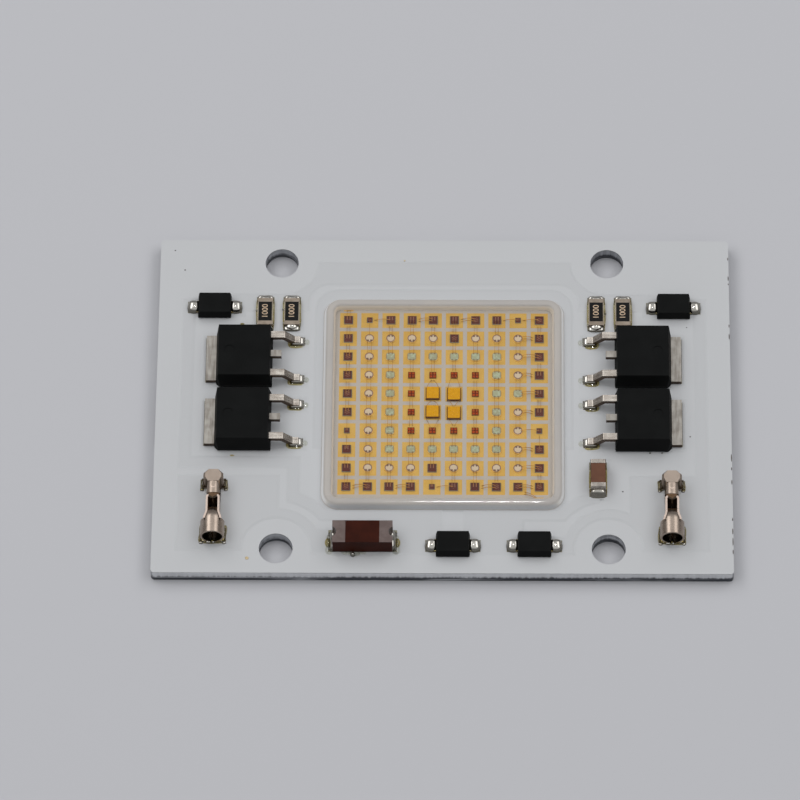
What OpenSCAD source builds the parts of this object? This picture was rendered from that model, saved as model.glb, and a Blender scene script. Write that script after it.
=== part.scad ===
// Chip-on-board LED module with its mains driver parts on a white aluminium-core board.
// The board lies flat, with its underside at z = 0 and its centre at the origin.
// The wire terminals open to the front, along -Y. Rows of dies are counted from the rear.

/* [Board] */
// Length of the board, left to right
board_l = 60; // [58:0.5:80]
// Width of the board, front to rear
board_w = 40; // [39:0.5:60]
// Radius of the board's four corners
board_corner_r = 0.4; // [0.1:0.1:2]
// Thickness of the aluminium core
core_t = 1.5; // [0.8:0.1:3]
// Thickness of the insulating layer on the core
insulation_t = 0.07; // [0.05:0.01:0.2]
// Thickness of the copper foil
copper_t = 0.07; // [0.03:0.01:0.14]
// Thickness of the white solder mask
mask_t = 0.03; // [0.02:0.01:0.06]
// Thickness of the solder between a pad and the part on it
solder_t = 0.05; // [0.04:0.01:0.1]
// Diameter of the four screw holes
hole_d = 3.5; // [2.5:0.1:4.5]
// Distance between the screw holes, left to right
hole_span_x = 34.3; // [33:0.1:36]
// Distance of a screw hole's middle from the front or rear edge
hole_edge = 2.85; // [2.6:0.05:3.2]

/* [Die array] */
// Distance between the middles of neighbouring dies
die_pitch = 2.226; // [2.1:0.01:2.4]
// Side of a gold-plated die pad
pad_w = 1.8; // [1.7:0.05:2]
// Shift of the array to the rear
array_shift = 0.1; // [0:0.05:0.2]
// Height of every die
die_h = 0.14; // [0.12:0.01:0.3]
// Side of a large die
large_w = 0.95; // [0.8:0.05:1.2]
// Side of a small die
small_w = 0.6; // [0.4:0.05:0.7]
// Diameter of a round die
round_d = 0.93; // [0.7:0.01:1]
// Side of a clear die
clear_w = 0.95; // [0.8:0.05:1.1]
// Corner radius of a clear die
clear_corner_r = 0.3; // [0.05:0.05:0.35]
// Side of a red die
red_w = 0.72; // [0.6:0.02:0.9]
// Side of a chip with a phosphor plate
plate_w = 1.45; // [1.3:0.05:1.6]
// Thickness of a phosphor plate
plate_t = 0.12; // [0.06:0.01:0.2]
// Cut corner of a phosphor plate
plate_cut = 0.22; // [0.2:0.01:0.3]
// How far forward the plate chips of the rising column sit
plate_slip = 0.15; // [0:0.05:0.15]
// Thickness of a bond wire
wire_t = 0.04; // [0.03:0.01:0.06]
// Rise of a bond wire above its chord
wire_rise = 0.24; // [0.2:0.01:0.3]
// Width of the pads at the two ends of the string
end_pad_w = 1; // [0.6:0.1:1.2]

/* [Dam and gel] */
// Gap between the outer die pads and the dam
dam_gap = 0.5; // [0.4:0.05:0.8]
// Width of the dam bead
dam_w = 1.1; // [0.9:0.05:1.3]
// Height of the dam bead
dam_h = 0.75; // [0.65:0.05:0.9]
// Corner radius along the middle of the bead
dam_corner_r = 1.2; // [0.8:0.1:2]
// How far the gel stays below the top of the bead
gel_drop = 0.12; // [0.08:0.01:0.15]

/* [Drivers] */
// Length of a driver body, along its leads
driver_l = 5.9; // [5.5:0.1:6.3]
// Width of a driver body
driver_w = 6.6; // [6.2:0.1:7]
// Height of a driver body
driver_h = 2.3; // [2:0.1:2.6]
// How far the driver tab stands out
tab_l = 1.05; // [0.9:0.05:1.4]
// Width of the driver tab
tab_w = 5.4; // [4.8:0.1:5.8]
// Thickness of the driver tab and leads
lead_t = 0.5; // [0.4:0.05:0.6]
// Width of a driver lead
lead_w = 0.76; // [0.6:0.02:0.9]
// Reach of a driver lead from the body to its tip
lead_l = 2.9; // [2.6:0.1:3.2]
// Distance from the middle of a driver to its outer leads
lead_pitch = 2.285; // [2:0.005:2.4]
// Length of the cut centre lead
stub_l = 0.95; // [0.6:0.05:1.2]
// Gap between the dam and the tips of the driver leads
driver_clear = 2.48; // [2:0.02:3]
// Gap between two drivers of a column
driver_gap = 1; // [0.6:0.1:1.2]
// Middle of the driver columns behind the board's middle
driver_mid_y = 1.4; // [1:0.1:1.8]
// Diameter of the ejector mark on a driver
mark_d = 1.1; // [0.8:0.1:1.4]

/* [Diodes] */
// Length of a diode body
diode_l = 3.5; // [3.2:0.1:3.8]
// Width of a diode body
diode_w = 2.6; // [2.3:0.1:2.8]
// Height of a diode body
diode_h = 1.1; // [0.9:0.05:1.3]
// Length of a diode over its leads
diode_span = 4.8; // [4.6:0.1:5]
// Width of a diode lead
diode_lead_w = 1.4; // [1.2:0.1:1.6]
// Thickness of a diode lead
diode_lead_t = 0.2; // [0.15:0.01:0.25]
// How far outside the middle of the drivers the rear diodes sit
rear_diode_out = 3.27; // [3.1:0.01:3.6]
// Gap between a rear driver and the diode behind it
rear_diode_gap = 1.85; // [1.6:0.05:2.2]
// Front diodes, distance from the front edge of the board
front_diode_edge = 3.15; // [2.8:0.05:3.6]
// Place of the first front diode, left to right
diode_a_x = 1.1; // [0.6:0.1:1.6]
// Place of the second front diode, left to right
diode_b_x = 9.5; // [9:0.1:10]

/* [Chip parts] */
// Length of a chip resistor or capacitor
chip_l = 3.2; // [3:0.05:3.4]
// Width of a chip resistor or capacitor
chip_w = 1.6; // [1.4:0.05:1.8]
// Height of a chip resistor
resistor_h = 0.55; // [0.45:0.05:0.7]
// Length of an end band of a chip
chip_end_l = 0.45; // [0.35:0.05:0.6]
// Thickness of the plating on a chip's ends
plating_t = 0.04; // [0.03:0.01:0.06]
// Thickness of the black coat of a resistor
coat_t = 0.05; // [0.04:0.01:0.08]
// Gap between the dam and the first resistor of a side
resistor_clear = 2.68; // [2.4:0.02:3]
// Distance between the two resistors of a side
resistor_pitch = 2.8; // [2.6:0.05:3]
// Gap between a driver and the resistors behind it
resistor_gap = 0.8; // [0.7:0.05:1]
// Height of the chip capacitor
capacitor_h = 1.5; // [1.2:0.05:1.6]
// Gap between the dam and the capacitor
capacitor_clear = 2.78; // [2.5:0.02:3]
// Place of the capacitor in front of the board's middle
capacitor_y = 8.97; // [8.8:0.01:9.2]

/* [Fuse] */
// Length of the fuse
fuse_l = 6.2; // [5.8:0.1:6.6]
// Width of the fuse
fuse_w = 2.55; // [2.3:0.05:2.8]
// Height of the fuse
fuse_h = 2.1; // [1.8:0.05:2.3]
// Length of a fuse end cap
fuse_cap_l = 1.35; // [1.1:0.05:1.5]
// Radius of the half-round notch in a fuse end
fuse_notch_r = 0.6; // [0.4:0.02:0.7]
// Place of the fuse to the left of the board's middle
fuse_x = 8.2; // [7.9:0.1:8.4]
// Distance of the fuse from the front edge of the board
fuse_edge = 3.7; // [3.4:0.05:4]

/* [Terminals] */
// Thickness of the terminal sheet
sheet_t = 0.2; // [0.15:0.01:0.25]
// Length of a terminal
term_l = 7.4; // [7:0.1:7.8]
// Outside diameter of the wire barrel
barrel_d = 2.5; // [2.3:0.05:2.7]
// Length of the wire barrel
barrel_l = 1.7; // [1.4:0.1:2]
// Width of the seam under the barrel
seam_w = 0.16; // [0.1:0.02:0.3]
// Length of the slots that part the contact tongue from the barrel
slot_l = 0.32; // [0.2:0.02:0.5]
// Length of the walls between barrel and neck
flare_l = 0.95; // [0.8:0.05:1.1]
// Length of the neck
neck_l = 1.65; // [1.5:0.05:1.75]
// Width of the neck
neck_w = 1.42; // [1.3:0.02:1.6]
// Height of the side walls
wall_h = 2.1; // [1.9:0.05:2.2]
// Radius in which the contact tongue curls down
tongue_curl_r = 1.6; // [1.4:0.05:1.7]
// Width of the flat head
head_w = 2.05; // [2:0.05:2.3]
// Length of the flat head
head_l = 1.4; // [1.3:0.05:1.5]
// Height of the flat head
head_h = 2.3; // [2.1:0.05:2.5]
// Slope of the hood in front of the head
hood_slope = 16; // [10:1:20]
// Length of the hood
hood_l = 1.2; // [1.1:0.05:1.3]
// Reach of a solder foot beside the head
foot_w = 0.43; // [0.35:0.01:0.6]
// Distance of a terminal's middle from the screw hole beside it
term_out = 6.53; // [6.4:0.01:6.9]
// Distance of the barrel's mouth from the front edge of the board
mouth_edge = 3.5; // [3.2:0.05:4]

/* [Copper] */
// Width of the narrow traces
trace_w = 0.95; // [0.7:0.05:1.1]
// Where the side traces run, as a share of the way from the driver pads to the board's edge
trace_share = 0.384; // [0.3:0.002:0.45]
// Radius of the bare ring round a front screw hole
bare_r = 3.75; // [3.4:0.05:4]
// Width of the copper ring round that bare ring
ring_w = 0.75; // [0.5:0.05:0.9]
// Radius of the curved trace further out round the hole
arc_r = 5.75; // [5.5:0.05:6]
// Radius of the bare ring round a rear screw hole
rear_bare_r = 4; // [3.6:0.05:4.2]
// Width of the rear bus
bus_w = 2.4; // [2:0.1:2.6]
// Gap between the collar trace and the bus
bus_gap = 1; // [0.8:0.05:1.2]
// Reach of the collar trace beside the dam
collar_side = 0.8; // [0.6:0.05:1]
// Reach of the collar trace behind the dam
collar_rear = 1.2; // [1:0.05:1.4]
// Front end of the collar trace before the board's middle
collar_end = 5.1; // [4:0.1:6]
// Width of the strip without copper along the front edge
front_bare = 2.4; // [2:0.1:2.6]
// Width of copper hidden under the mask round a solder pad
pad_rim = 0.15; // [0.1:0.01:0.2]
// How far solder reaches past the end of a lead
solder_reach = 0.45; // [0.3:0.05:0.6]

/* [Hidden] */
$fn = 48;
eps = 0.01;

// One letter for each die: Large, Small, round White, clear Green, Red, Yellow plate
DIE_MAP = [
    "LSLLLLLLSL",
    "LWWWWLWWWL",
    "LWGGGGGGWL",
    "LWGRRRRGWL",
    "LWGRYYRGGL",
    "LWGRYYRGWL",
    "SWGRRRRGWS",
    "LWGGGGGGWL",
    "LWWWLWWWWL",
    "LLLLSLLLLL"
];
die_n = len(DIE_MAP);
plate_rising_col = 5;
serpentine_cols = 8;

// Heights of the layers
z_ins = core_t + insulation_t;
z_copper = z_ins + copper_t;
z_mask = z_copper + mask_t;
z_seat = z_copper + solder_t;

// Half sizes of the array and the dam
pads_half = (die_n - 1) / 2 * die_pitch + pad_w / 2;
dam_in = pads_half + dam_gap;
dam_mid = dam_in + dam_w / 2;
dam_out = dam_in + dam_w;
dam_r = (dam_w * dam_w / 4 + dam_h * dam_h) / (2 * dam_h);
gel_h = dam_h - gel_drop;

// Bond wires: where they land and how finely they curve
wire_fn = 96;
pad_land = 0.22;
pad_edge = 0.06;
edge_land = 0.15;
corner_land = 0.07;
top_share = 0.1;
wire_pair_close = 0.3;
wire_pair_wide = 0.42;
wire_pair_tip = 0.15;
end_pad_in = 0.2;
end_pad_under = 0.2;
end_a_x = -(die_n - 1) / 2 * die_pitch;
end_b_shift = 0.07;
end_b_x = -end_a_x - end_b_shift;

// Holes
hole_x = hole_span_x / 2;
hole_y = board_w / 2 - hole_edge;

// Drivers
driver_x = dam_out + driver_clear + lead_l + driver_l / 2;
driver_step = driver_w + driver_gap;
driver_front = driver_mid_y - driver_gap / 2 - driver_w;
driver_rear = driver_mid_y + driver_gap / 2 + driver_w;
driver_draft = 0.28;
diode_corner_r = 0.15;
tab_solder = 0.08;
driver_cut = 0.45;
lead_z = 1.05;
lead_flat = 1.05;
lead_slope = 1.05;
lead_in = 0.9;
bend_r = 0.15;
bend_fn = 24;
slug_in = 1;
riser_l = 0.6;
mark_depth = 0.06;
mark_in = 1.45;

// Diodes
rear_diode_x = driver_x + rear_diode_out;
rear_diode_y = driver_rear + rear_diode_gap + diode_w / 2;
front_diode_y = -board_w / 2 + front_diode_edge;
diode_draft = 0.14;
diode_lead_in = 0.8;

// Chip parts
resistor_x = dam_out + resistor_clear + chip_w / 2;
resistor_y = driver_rear + resistor_gap + chip_l / 2;
capacitor_x = dam_out + capacitor_clear + chip_w / 2;
coat_side = 0.1;
capacitor_r = 0.15;
chip_pad_side = 0.12;

// Shapes of the solder joints, as shares of their height and reach
chip_fillet_share = 0.7;
lead_fillet_share = 0.8;
fuse_fillet_share = 0.45;
fuse_notch_out = 0.2;
knee_x = 0.45;
knee_z = 0.35;

// Fuse
fuse_y = -board_w / 2 + fuse_edge;

// Terminals
term_x = hole_x + term_out;
mouth_y = -board_w / 2 + mouth_edge;
barrel_r = barrel_d / 2;
tongue_tip_w = 0.8;
tongue_root_w = 1.3;
tongue_turn = 50;
slot_turn = 37;
slot_w = 0.12;
hood_sink = 0.02;
hood_root_w = 1.1;
hood_tip_w = 1.42;
hood_r = 0.8;
head_bend = 0.2;
head_cut = 0.45;
head_waist = 0.5;
head_draw = 0.94;
foot_l = 1.1;
flare_out = 0.24;
stop_l = 0.5;
stop_in = 0.1;
stop_back = 0.25;
foot_solder = 0.15;
barrel_solder_in = 0.45;
barrel_solder_side = 0.12;
barrel_solder_h = 0.4;

// Copper
driver_pad_end = driver_x + driver_l / 2 + tab_l + tab_solder;
trace_mid = driver_pad_end + (board_l / 2 - driver_pad_end) * trace_share;
trace_out = trace_mid + trace_w / 2;
drop_x = dam_out + driver_clear;
band_gap = 0.2;
band_rear = -dam_out - band_gap;
band_front = band_rear - trace_w;
front_copper = -board_w / 2 + front_bare;
collar_hide = 0.2;
bus_in_x = dam_out + collar_side + bus_gap;
bus_in_y = dam_out + collar_rear + bus_gap;
bus_corner_r = 2.3;
bus_overlap = 0.6;
bus_end = resistor_y + bus_overlap;
cross_gap = 0.8;
cross_rear = driver_front - cross_gap;
term_copper_front = 0.7;
term_copper_rear = 0.4;
term_copper_step = 2.4;
fuse_copper_in = 1;
diode_copper_in = 1.3;
resistor_copper_in = 0.2;
rear_copper_in = 1.6;
rear_copper_up = 1.55;

// Helpers

// A flat sheet of the children's outline, t thick, from height z
module layer(z, t) {
    translate([0, 0, z])
        linear_extrude(t) children();
}

// A rectangle between two corners, grown by g on every side
module rect(x0, y0, x1, y1, g = 0) {
    translate([min(x0, x1) - g, min(y0, y1) - g])
        square([abs(x1 - x0) + 2 * g, abs(y1 - y0) + 2 * g]);
}

// A rectangle round the origin with rounded corners
module rounded_2d(w, l, r) {
    square([w - 2 * r, l], center = true);
    square([w, l - 2 * r], center = true);
    for (sx = [-1, 1], sy = [-1, 1])
        translate([sx * (w / 2 - r), sy * (l / 2 - r)]) circle(r);
}

// A rectangle round the origin with its two corners at -X cut off
module cut_corners_2d(l, w, c) {
    polygon([
        [-l / 2 + c, -w / 2], [l / 2, -w / 2], [l / 2, w / 2],
        [-l / 2 + c, w / 2], [-l / 2, w / 2 - c], [-l / 2, -w / 2 + c]
    ]);
}

// An outline in x and z, drawn out along y over a width round the middle
module slab_y(w) {
    rotate([90, 0, 0])
        linear_extrude(w, center = true) children();
}

// A block with drafted sides that lean in above and below a parting line
module moulded(l, w, h, parting, draft) {
    intersection() {
        slab_y(w) moulded_side_2d(l, h, parting, draft);
        rotate([0, 0, 90]) slab_y(l) moulded_side_2d(w, h, parting, draft);
    }
}

module moulded_side_2d(l, h, parting, draft) {
    under = draft * parting / h;
    polygon([
        [-l / 2 + under, 0], [l / 2 - under, 0], [l / 2, parting],
        [l / 2 - draft, h], [-l / 2 + draft, h], [-l / 2, parting]
    ]);
}

// A solder fillet that falls from height h at x = 0 to a thin toe at x = reach
module fillet(reach, w, h) {
    toe = solder_t / 2;
    slab_y(w) polygon([
        [0, 0], [reach, 0], [reach, toe], [reach * knee_x, toe + (h - toe) * knee_z], [0, h]
    ]);
}

// Places of the parts

module at_driver(i) {
    s = i < 2 ? -1 : 1;
    row = i % 2 == 0 ? 1 : -1;
    translate([s * driver_x, driver_mid_y + row * driver_step / 2])
        rotate([0, 0, i < 2 ? 0 : 180]) children();
}

module at_diode(i) {
    places = [
        [-rear_diode_x, rear_diode_y], [rear_diode_x, rear_diode_y],
        [diode_a_x, front_diode_y], [diode_b_x, front_diode_y]
    ];
    translate(places[i]) children();
}

module at_resistor(i) {
    s = i < 2 ? -1 : 1;
    out = i == 0 || i == 3 ? resistor_pitch : 0;
    translate([s * (resistor_x + out), resistor_y])
        rotate([0, 0, 90]) children();
}

module at_capacitor() {
    translate([capacitor_x, -capacitor_y])
        rotate([0, 0, 90]) children();
}

module at_fuse() {
    translate([-fuse_x, fuse_y]) children();
}

module at_terminal(s) {
    translate([s * term_x, mouth_y]) children();
}

// Solder pads, grown by g

module driver_pads_2d(g = 0) {
    tip = driver_l / 2 + lead_l;
    rect(-driver_l / 2 - tab_l - tab_solder, -tab_w / 2, slug_in, tab_w / 2, g);
    for (s = [-1, 1])
        translate([0, s * lead_pitch])
            rect(tip - lead_flat, -lead_w / 2 - pad_rim, tip + solder_reach, lead_w / 2 + pad_rim, g);
}

module diode_pads_2d(g = 0) {
    for (s = [-1, 1])
        rect(s * (diode_span / 2 - diode_lead_in), -diode_lead_w / 2,
             s * (diode_span / 2 + solder_reach), diode_lead_w / 2, g);
}

module chip_pads_2d(g = 0) {
    for (s = [-1, 1])
        rect(s * (chip_l / 2 - chip_end_l), -chip_w / 2 - chip_pad_side,
             s * (chip_l / 2 + solder_reach), chip_w / 2 + chip_pad_side, g);
}

module fuse_pads_2d(g = 0) {
    for (s = [-1, 1])
        rect(s * (fuse_l / 2 - fuse_cap_l), -fuse_w / 2,
             s * (fuse_l / 2 + solder_reach), fuse_w / 2, g);
}

module terminal_pads_2d(g = 0) {
    side = barrel_r + barrel_solder_side;
    rect(-side, 0, side, barrel_l, g);
    foot = head_w / 2 - sheet_t + foot_w + foot_solder;
    rect(-foot, term_l - foot_l, foot, term_l, g);
}

module solder_pads_2d(g = 0) {
    for (i = [0:3]) {
        at_driver(i) driver_pads_2d(g);
        at_diode(i) diode_pads_2d(g);
        at_resistor(i) chip_pads_2d(g);
    }
    at_capacitor() chip_pads_2d(g);
    at_fuse() fuse_pads_2d(g);
    for (s = [-1, 1])
        at_terminal(s) terminal_pads_2d(g);
}

// Copper outlines, grown by g

module hole_disc(sx, sy, r) {
    translate([sx * hole_x, sy * hole_y]) circle(r);
}

module front_ring_2d(s, r0, r1, g) {
    difference() {
        hole_disc(s, -1, r1 + g);
        hole_disc(s, -1, r0 - g);
    }
}

// Copper under a terminal, with a ring round the screw hole to the middle of the board
module terminal_copper_2d(s, inner_x, g) {
    difference() {
        rect(s * trace_out, mouth_y - term_copper_front, s * inner_x, mouth_y + term_l + term_copper_rear, g);
        hole_disc(s, -1, bare_r - g);
    }
    intersection() {
        front_ring_2d(s, bare_r, bare_r + ring_w, g);
        rect(s * inner_x, front_copper, 0, 0, g);
    }
}

// Curved trace that keeps its distance from a front screw hole
module arc_trace_2d(s, outer_x, g) {
    intersection() {
        front_ring_2d(s, arc_r, arc_r + trace_w, g);
        rect(s * outer_x, band_front, 0, 0, g);
    }
}

module front_copper_2d(g) {
    middle_x = hole_x - bare_r;
    terminal_copper_2d(-1, hole_x, g);
    terminal_copper_2d(1, hole_x + term_copper_step, g);
    arc_trace_2d(-1, drop_x + trace_w, g);
    arc_trace_2d(1, capacitor_x, g);
    rect(-middle_x, front_copper, -fuse_x - fuse_l / 2 + fuse_copper_in, fuse_y + fuse_w / 2, g);
    rect(-dam_out, band_front, diode_a_x - diode_copper_in, band_rear, g);
    rect(-fuse_x + fuse_l / 2 - fuse_copper_in, front_copper, diode_a_x - diode_copper_in, band_rear, g);
    rect(diode_a_x + diode_copper_in, front_copper, diode_b_x - diode_copper_in, band_rear, g);
    rect(diode_a_x + diode_copper_in, band_front, dam_out, band_rear, g);
    rect(diode_b_x + diode_copper_in, front_copper, middle_x, front_diode_y + trace_w, g);
}

module side_copper_2d(g) {
    rear = rear_diode_y + trace_w;
    rect(-trace_out, cross_rear - trace_w, -trace_out + trace_w, rear, g);
    rect(-trace_out, cross_rear - trace_w, -drop_x, cross_rear, g);
    rect(-drop_x - trace_w, -hole_y + arc_r, -drop_x, cross_rear, g);
    rect(trace_out - trace_w, mouth_y + term_l, trace_out, rear, g);
}

module rear_copper_2d(g) {
    difference() {
        union() {
            rect(-resistor_x, bus_end, resistor_x, bus_in_y + bus_w, g);
            for (s = [-1, 1])
                rect(s * (drop_x + resistor_copper_in), bus_end,
                     s * (rear_diode_x - rear_copper_in), rear_diode_y + rear_copper_up, g);
        }
        rounded_2d(2 * (bus_in_x - g), 2 * (bus_in_y - g), bus_corner_r - g);
        for (s = [-1, 1])
            hole_disc(s, 1, rear_bare_r - g);
    }
}

// Copper under and beside the dam, with a tongue to each end of the die string
module collar_2d(g) {
    difference() {
        union() {
            rounded_2d(2 * (dam_out + g), 2 * (dam_out + g), dam_corner_r + dam_w / 2);
            intersection() {
                rounded_2d(2 * (dam_out + collar_side + g), 2 * (dam_out + collar_rear + g),
                           dam_corner_r + dam_w);
                rect(-board_l, -collar_end, board_l, board_w, g);
            }
        }
        rounded_2d(2 * (dam_in + collar_hide - g), 2 * (dam_in + collar_hide - g), dam_corner_r - g);
    }
    end_pads_2d(g);
}

module end_pads_2d(g = 0) {
    rect(end_a_x - end_pad_w / 2, dam_in - end_pad_in,
         end_a_x + end_pad_w / 2, dam_in + end_pad_under + eps, g);
    rect(end_b_x - end_pad_w / 2, -dam_in + end_pad_in + array_shift,
         end_b_x + end_pad_w / 2, -dam_in - end_pad_under - eps, g);
}

module copper_2d(g = 0) {
    front_copper_2d(g);
    side_copper_2d(g);
    rear_copper_2d(g);
    collar_2d(g);
    solder_pads_2d(pad_rim + g);
}

module board_2d() {
    difference() {
        rounded_2d(board_l, board_w, board_corner_r);
        for (sx = [-1, 1], sy = [-1, 1])
            hole_disc(sx, sy, hole_d / 2);
    }
}

// Board layers

module core_plate() {
    color("#9a9ca0")
        layer(0, core_t) board_2d();
}

module insulation() {
    color("#c9ccc8")
        layer(core_t, insulation_t) board_2d();
}

module copper_traces() {
    color("#b87346")
        layer(z_ins, copper_t) copper_2d();
}

module solder_mask() {
    color("#eceff0")
        difference() {
            union() {
                layer(z_ins, mask_t) board_2d();
                layer(z_ins, copper_t + mask_t) copper_2d(mask_t);
                layer(z_ins, copper_t + mask_t) rounded_2d(2 * dam_in, 2 * dam_in, dam_corner_r);
            }
            layer(z_ins - eps, copper_t + eps) copper_2d();
            layer(z_ins, copper_t + 2 * mask_t) solder_pads_2d();
            layer(z_ins, copper_t + 2 * mask_t) end_pads_2d();
            layer(z_ins - eps, copper_t + 2 * mask_t) die_pads_2d();
        }
}

// Dam and gel

module dam_profile_2d() {
    intersection() {
        translate([0, dam_h - dam_r]) circle(dam_r);
        translate([-dam_w / 2, 0]) square([dam_w, dam_h + eps]);
    }
}

module dam() {
    run = 2 * (dam_mid - dam_corner_r);
    color("#e6e4e0")
        translate([0, 0, z_mask])
            for (a = [0:90:270])
                rotate([0, 0, a]) {
                    translate([0, -dam_mid, 0])
                        rotate([90, 0, 90]) linear_extrude(run, center = true) dam_profile_2d();
                    translate([run / 2, run / 2, 0])
                        rotate_extrude(angle = 90) translate([dam_corner_r, 0]) dam_profile_2d();
                }
}

module gel() {
    color("#f2efe6", 0.35)
        difference() {
            layer(z_mask, gel_h) rounded_2d(2 * dam_mid, 2 * dam_mid, dam_corner_r);
            dam();
            for (kind = ["L", "S", "W", "G", "R", "Y"])
                dies(kind);
            phosphor_plates();
            bond_wires();
        }
}

// Dies

function die_kind(rc) = DIE_MAP[rc[0]][rc[1]];
function die_slip(rc) = die_kind(rc) == "Y" && rc[1] == plate_rising_col ? plate_slip : 0;
function die_at(rc) = [
    (rc[1] - (die_n - 1) / 2) * die_pitch,
    array_shift + ((die_n - 1) / 2 - rc[0]) * die_pitch - die_slip(rc)
];
function die_w(kind) =
    kind == "L" ? large_w :
    kind == "S" ? small_w :
    kind == "W" ? round_d :
    kind == "G" ? clear_w :
    kind == "R" ? red_w : plate_w;

module die_pads_2d() {
    for (row = [0:die_n - 1], col = [0:die_n - 1])
        translate([(col - (die_n - 1) / 2) * die_pitch, array_shift + (row - (die_n - 1) / 2) * die_pitch])
            square(pad_w, center = true);
}

module die_2d(kind) {
    w = die_w(kind);
    if (kind == "W")
        circle(w / 2);
    else if (kind == "G")
        rounded_2d(w, w, clear_corner_r);
    else
        square(w, center = true);
}

module dies(kind) {
    for (row = [0:die_n - 1], col = [0:die_n - 1])
        if (DIE_MAP[row][col] == kind)
            translate(die_at([row, col]))
                layer(z_mask, die_h) die_2d(kind);
}

module die_pads() {
    color("#d8ac48")
        layer(z_ins, copper_t + mask_t) die_pads_2d();
}

module string_end_pads() {
    color("#d8ac48")
        layer(z_copper, mask_t) end_pads_2d();
}

// A plate leaves bare the two corners of its chip where the wires land
module phosphor_plates() {
    color("#d99a1c")
        for (row = [0:die_n - 1], col = [0:die_n - 1])
            if (DIE_MAP[row][col] == "Y")
                translate(die_at([row, col]))
                    rotate([0, 0, col == plate_rising_col ? 90 : -90])
                        layer(z_mask + die_h, plate_t) cut_corners_2d(plate_w, plate_w, plate_cut);
}

// Bond wires

// The string runs up and down the columns, then zigzags between the last two
DIE_STRING = concat(
    [for (col = [0:serpentine_cols - 1]) for (k = [0:die_n - 1]) [col % 2 == 0 ? k : die_n - 1 - k, col]],
    [for (row = [0:die_n - 1]) for (k = [0, 1]) [row, serpentine_cols + (row % 2 == 0 ? k : 1 - k)]]
);

// A die with a contact on top is fed from below through its pad
function on_pad(kind) = kind != "W" && kind != "G";
function wire_spread(kind) =
    kind == "S" ? 0 : on_pad(kind) ? wire_pair_close : wire_pair_wide;
function start_reach(kind) =
    on_pad(kind) ? min(die_w(kind) / 2 + pad_land, pad_w / 2 - pad_edge) : die_w(kind) / 2 - edge_land;
function end_reach(kind) =
    kind == "Y" ? plate_w / 2 - corner_land :
    on_pad(kind) ? die_w(kind) * top_share : die_w(kind) / 2 - edge_land;
function start_spread(from, to) =
    to == "Y" ? wire_pair_tip :
    from == "Y" ? plate_w - 2 * corner_land : min(wire_spread(from), wire_spread(to));
function end_spread(from, to) =
    to == "Y" ? plate_w - 2 * corner_land :
    from == "Y" ? wire_spread(to) : min(wire_spread(from), wire_spread(to));

// A wire from p to q, which lie at heights z0 and z1 above the die pads
module wire(p, q, z0, z1) {
    run = norm(q - p);
    rise = z1 - z0;
    chord = norm([run, rise]);
    r = (chord * chord / 4 + wire_rise * wire_rise) / (2 * wire_rise);
    middle = [run / 2 + (r - wire_rise) * rise / chord, rise / 2 - (r - wire_rise) * run / chord];
    top = max(z0, z1) + 2 * wire_rise;
    translate([p[0], p[1], z_mask + z0])
        rotate([0, 0, atan2(q[1] - p[1], q[0] - p[0])])
            slab_y(wire_t)
                intersection() {
                    difference() {
                        translate(middle) circle(r + wire_t / 2, $fn = wire_fn);
                        translate(middle) circle(r - wire_t / 2, $fn = wire_fn);
                    }
                    polygon([
                        [-run, 0], [run / 2, 0], [run / 2, rise], [2 * run, rise], [2 * run, top], [-run, top]
                    ]);
                }
}

// The wires between two neighbouring dies of the string
module hop(a, b) {
    from = die_kind(a);
    to = die_kind(b);
    way = (die_at(b) - die_at(a)) / norm(die_at(b) - die_at(a));
    across = [-way[1], way[0]];
    sides = from == "S" || to == "S" ? [0] : [-1, 1];
    for (k = sides)
        wire(die_at(a) + way * start_reach(from) + across * k * start_spread(from, to) / 2,
             die_at(b) - way * end_reach(to) + across * k * end_spread(from, to) / 2,
             on_pad(from) ? 0 : die_h, die_h);
}

module bond_wires() {
    first = die_at(DIE_STRING[0]);
    last = die_at(DIE_STRING[len(DIE_STRING) - 1]);
    corner = start_reach(die_kind(DIE_STRING[len(DIE_STRING) - 1]));
    color("#c79a3e") {
        for (i = [0:len(DIE_STRING) - 2])
            hop(DIE_STRING[i], DIE_STRING[i + 1]);
        for (k = [-1, 1]) {
            side = k * wire_pair_close / 2;
            wire([first[0] + side, dam_in - end_pad_in / 2], first + [side, large_w * top_share], 0, die_h);
            wire(last + [corner, -corner + side],
                 [end_b_x - end_pad_w / 4, -dam_in + array_shift + end_pad_in / 2 + side / 2], 0, 0);
        }
    }
}

// Drivers: the tab points to -X in a driver's own frame

module driver_tab_shape() {
    layer(0, lead_t)
        rect(-driver_l / 2 - tab_l, -tab_w / 2, slug_in, tab_w / 2);
    slab_y(lead_w) {
        rect(slug_in - riser_l, 0, slug_in, lead_z + lead_t);
        rect(slug_in - riser_l, lead_z, driver_l / 2 + stub_l, lead_z + lead_t);
    }
}

module driver_lead_2d() {
    tip = driver_l / 2 + lead_l;
    bend = driver_l / 2 + lead_flat;
    lean = lead_t * tan(atan2(lead_z, lead_slope) / 2);
    offset(r = bend_r) offset(delta = -bend_r)
        offset(r = -bend_r) offset(delta = bend_r)
            polygon([
                [driver_l / 2 - lead_in, lead_z], [bend, lead_z], [bend + lead_slope, 0], [tip, 0],
                [tip, lead_t], [bend + lead_slope + lean, lead_t],
                [bend + lean, lead_z + lead_t], [driver_l / 2 - lead_in, lead_z + lead_t]
            ]);
}

module driver_leads_shape() {
    for (s = [-1, 1])
        translate([0, s * lead_pitch, 0])
            slab_y(lead_w) driver_lead_2d($fn = bend_fn);
}

module seated() {
    translate([0, 0, z_seat]) children();
}

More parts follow.
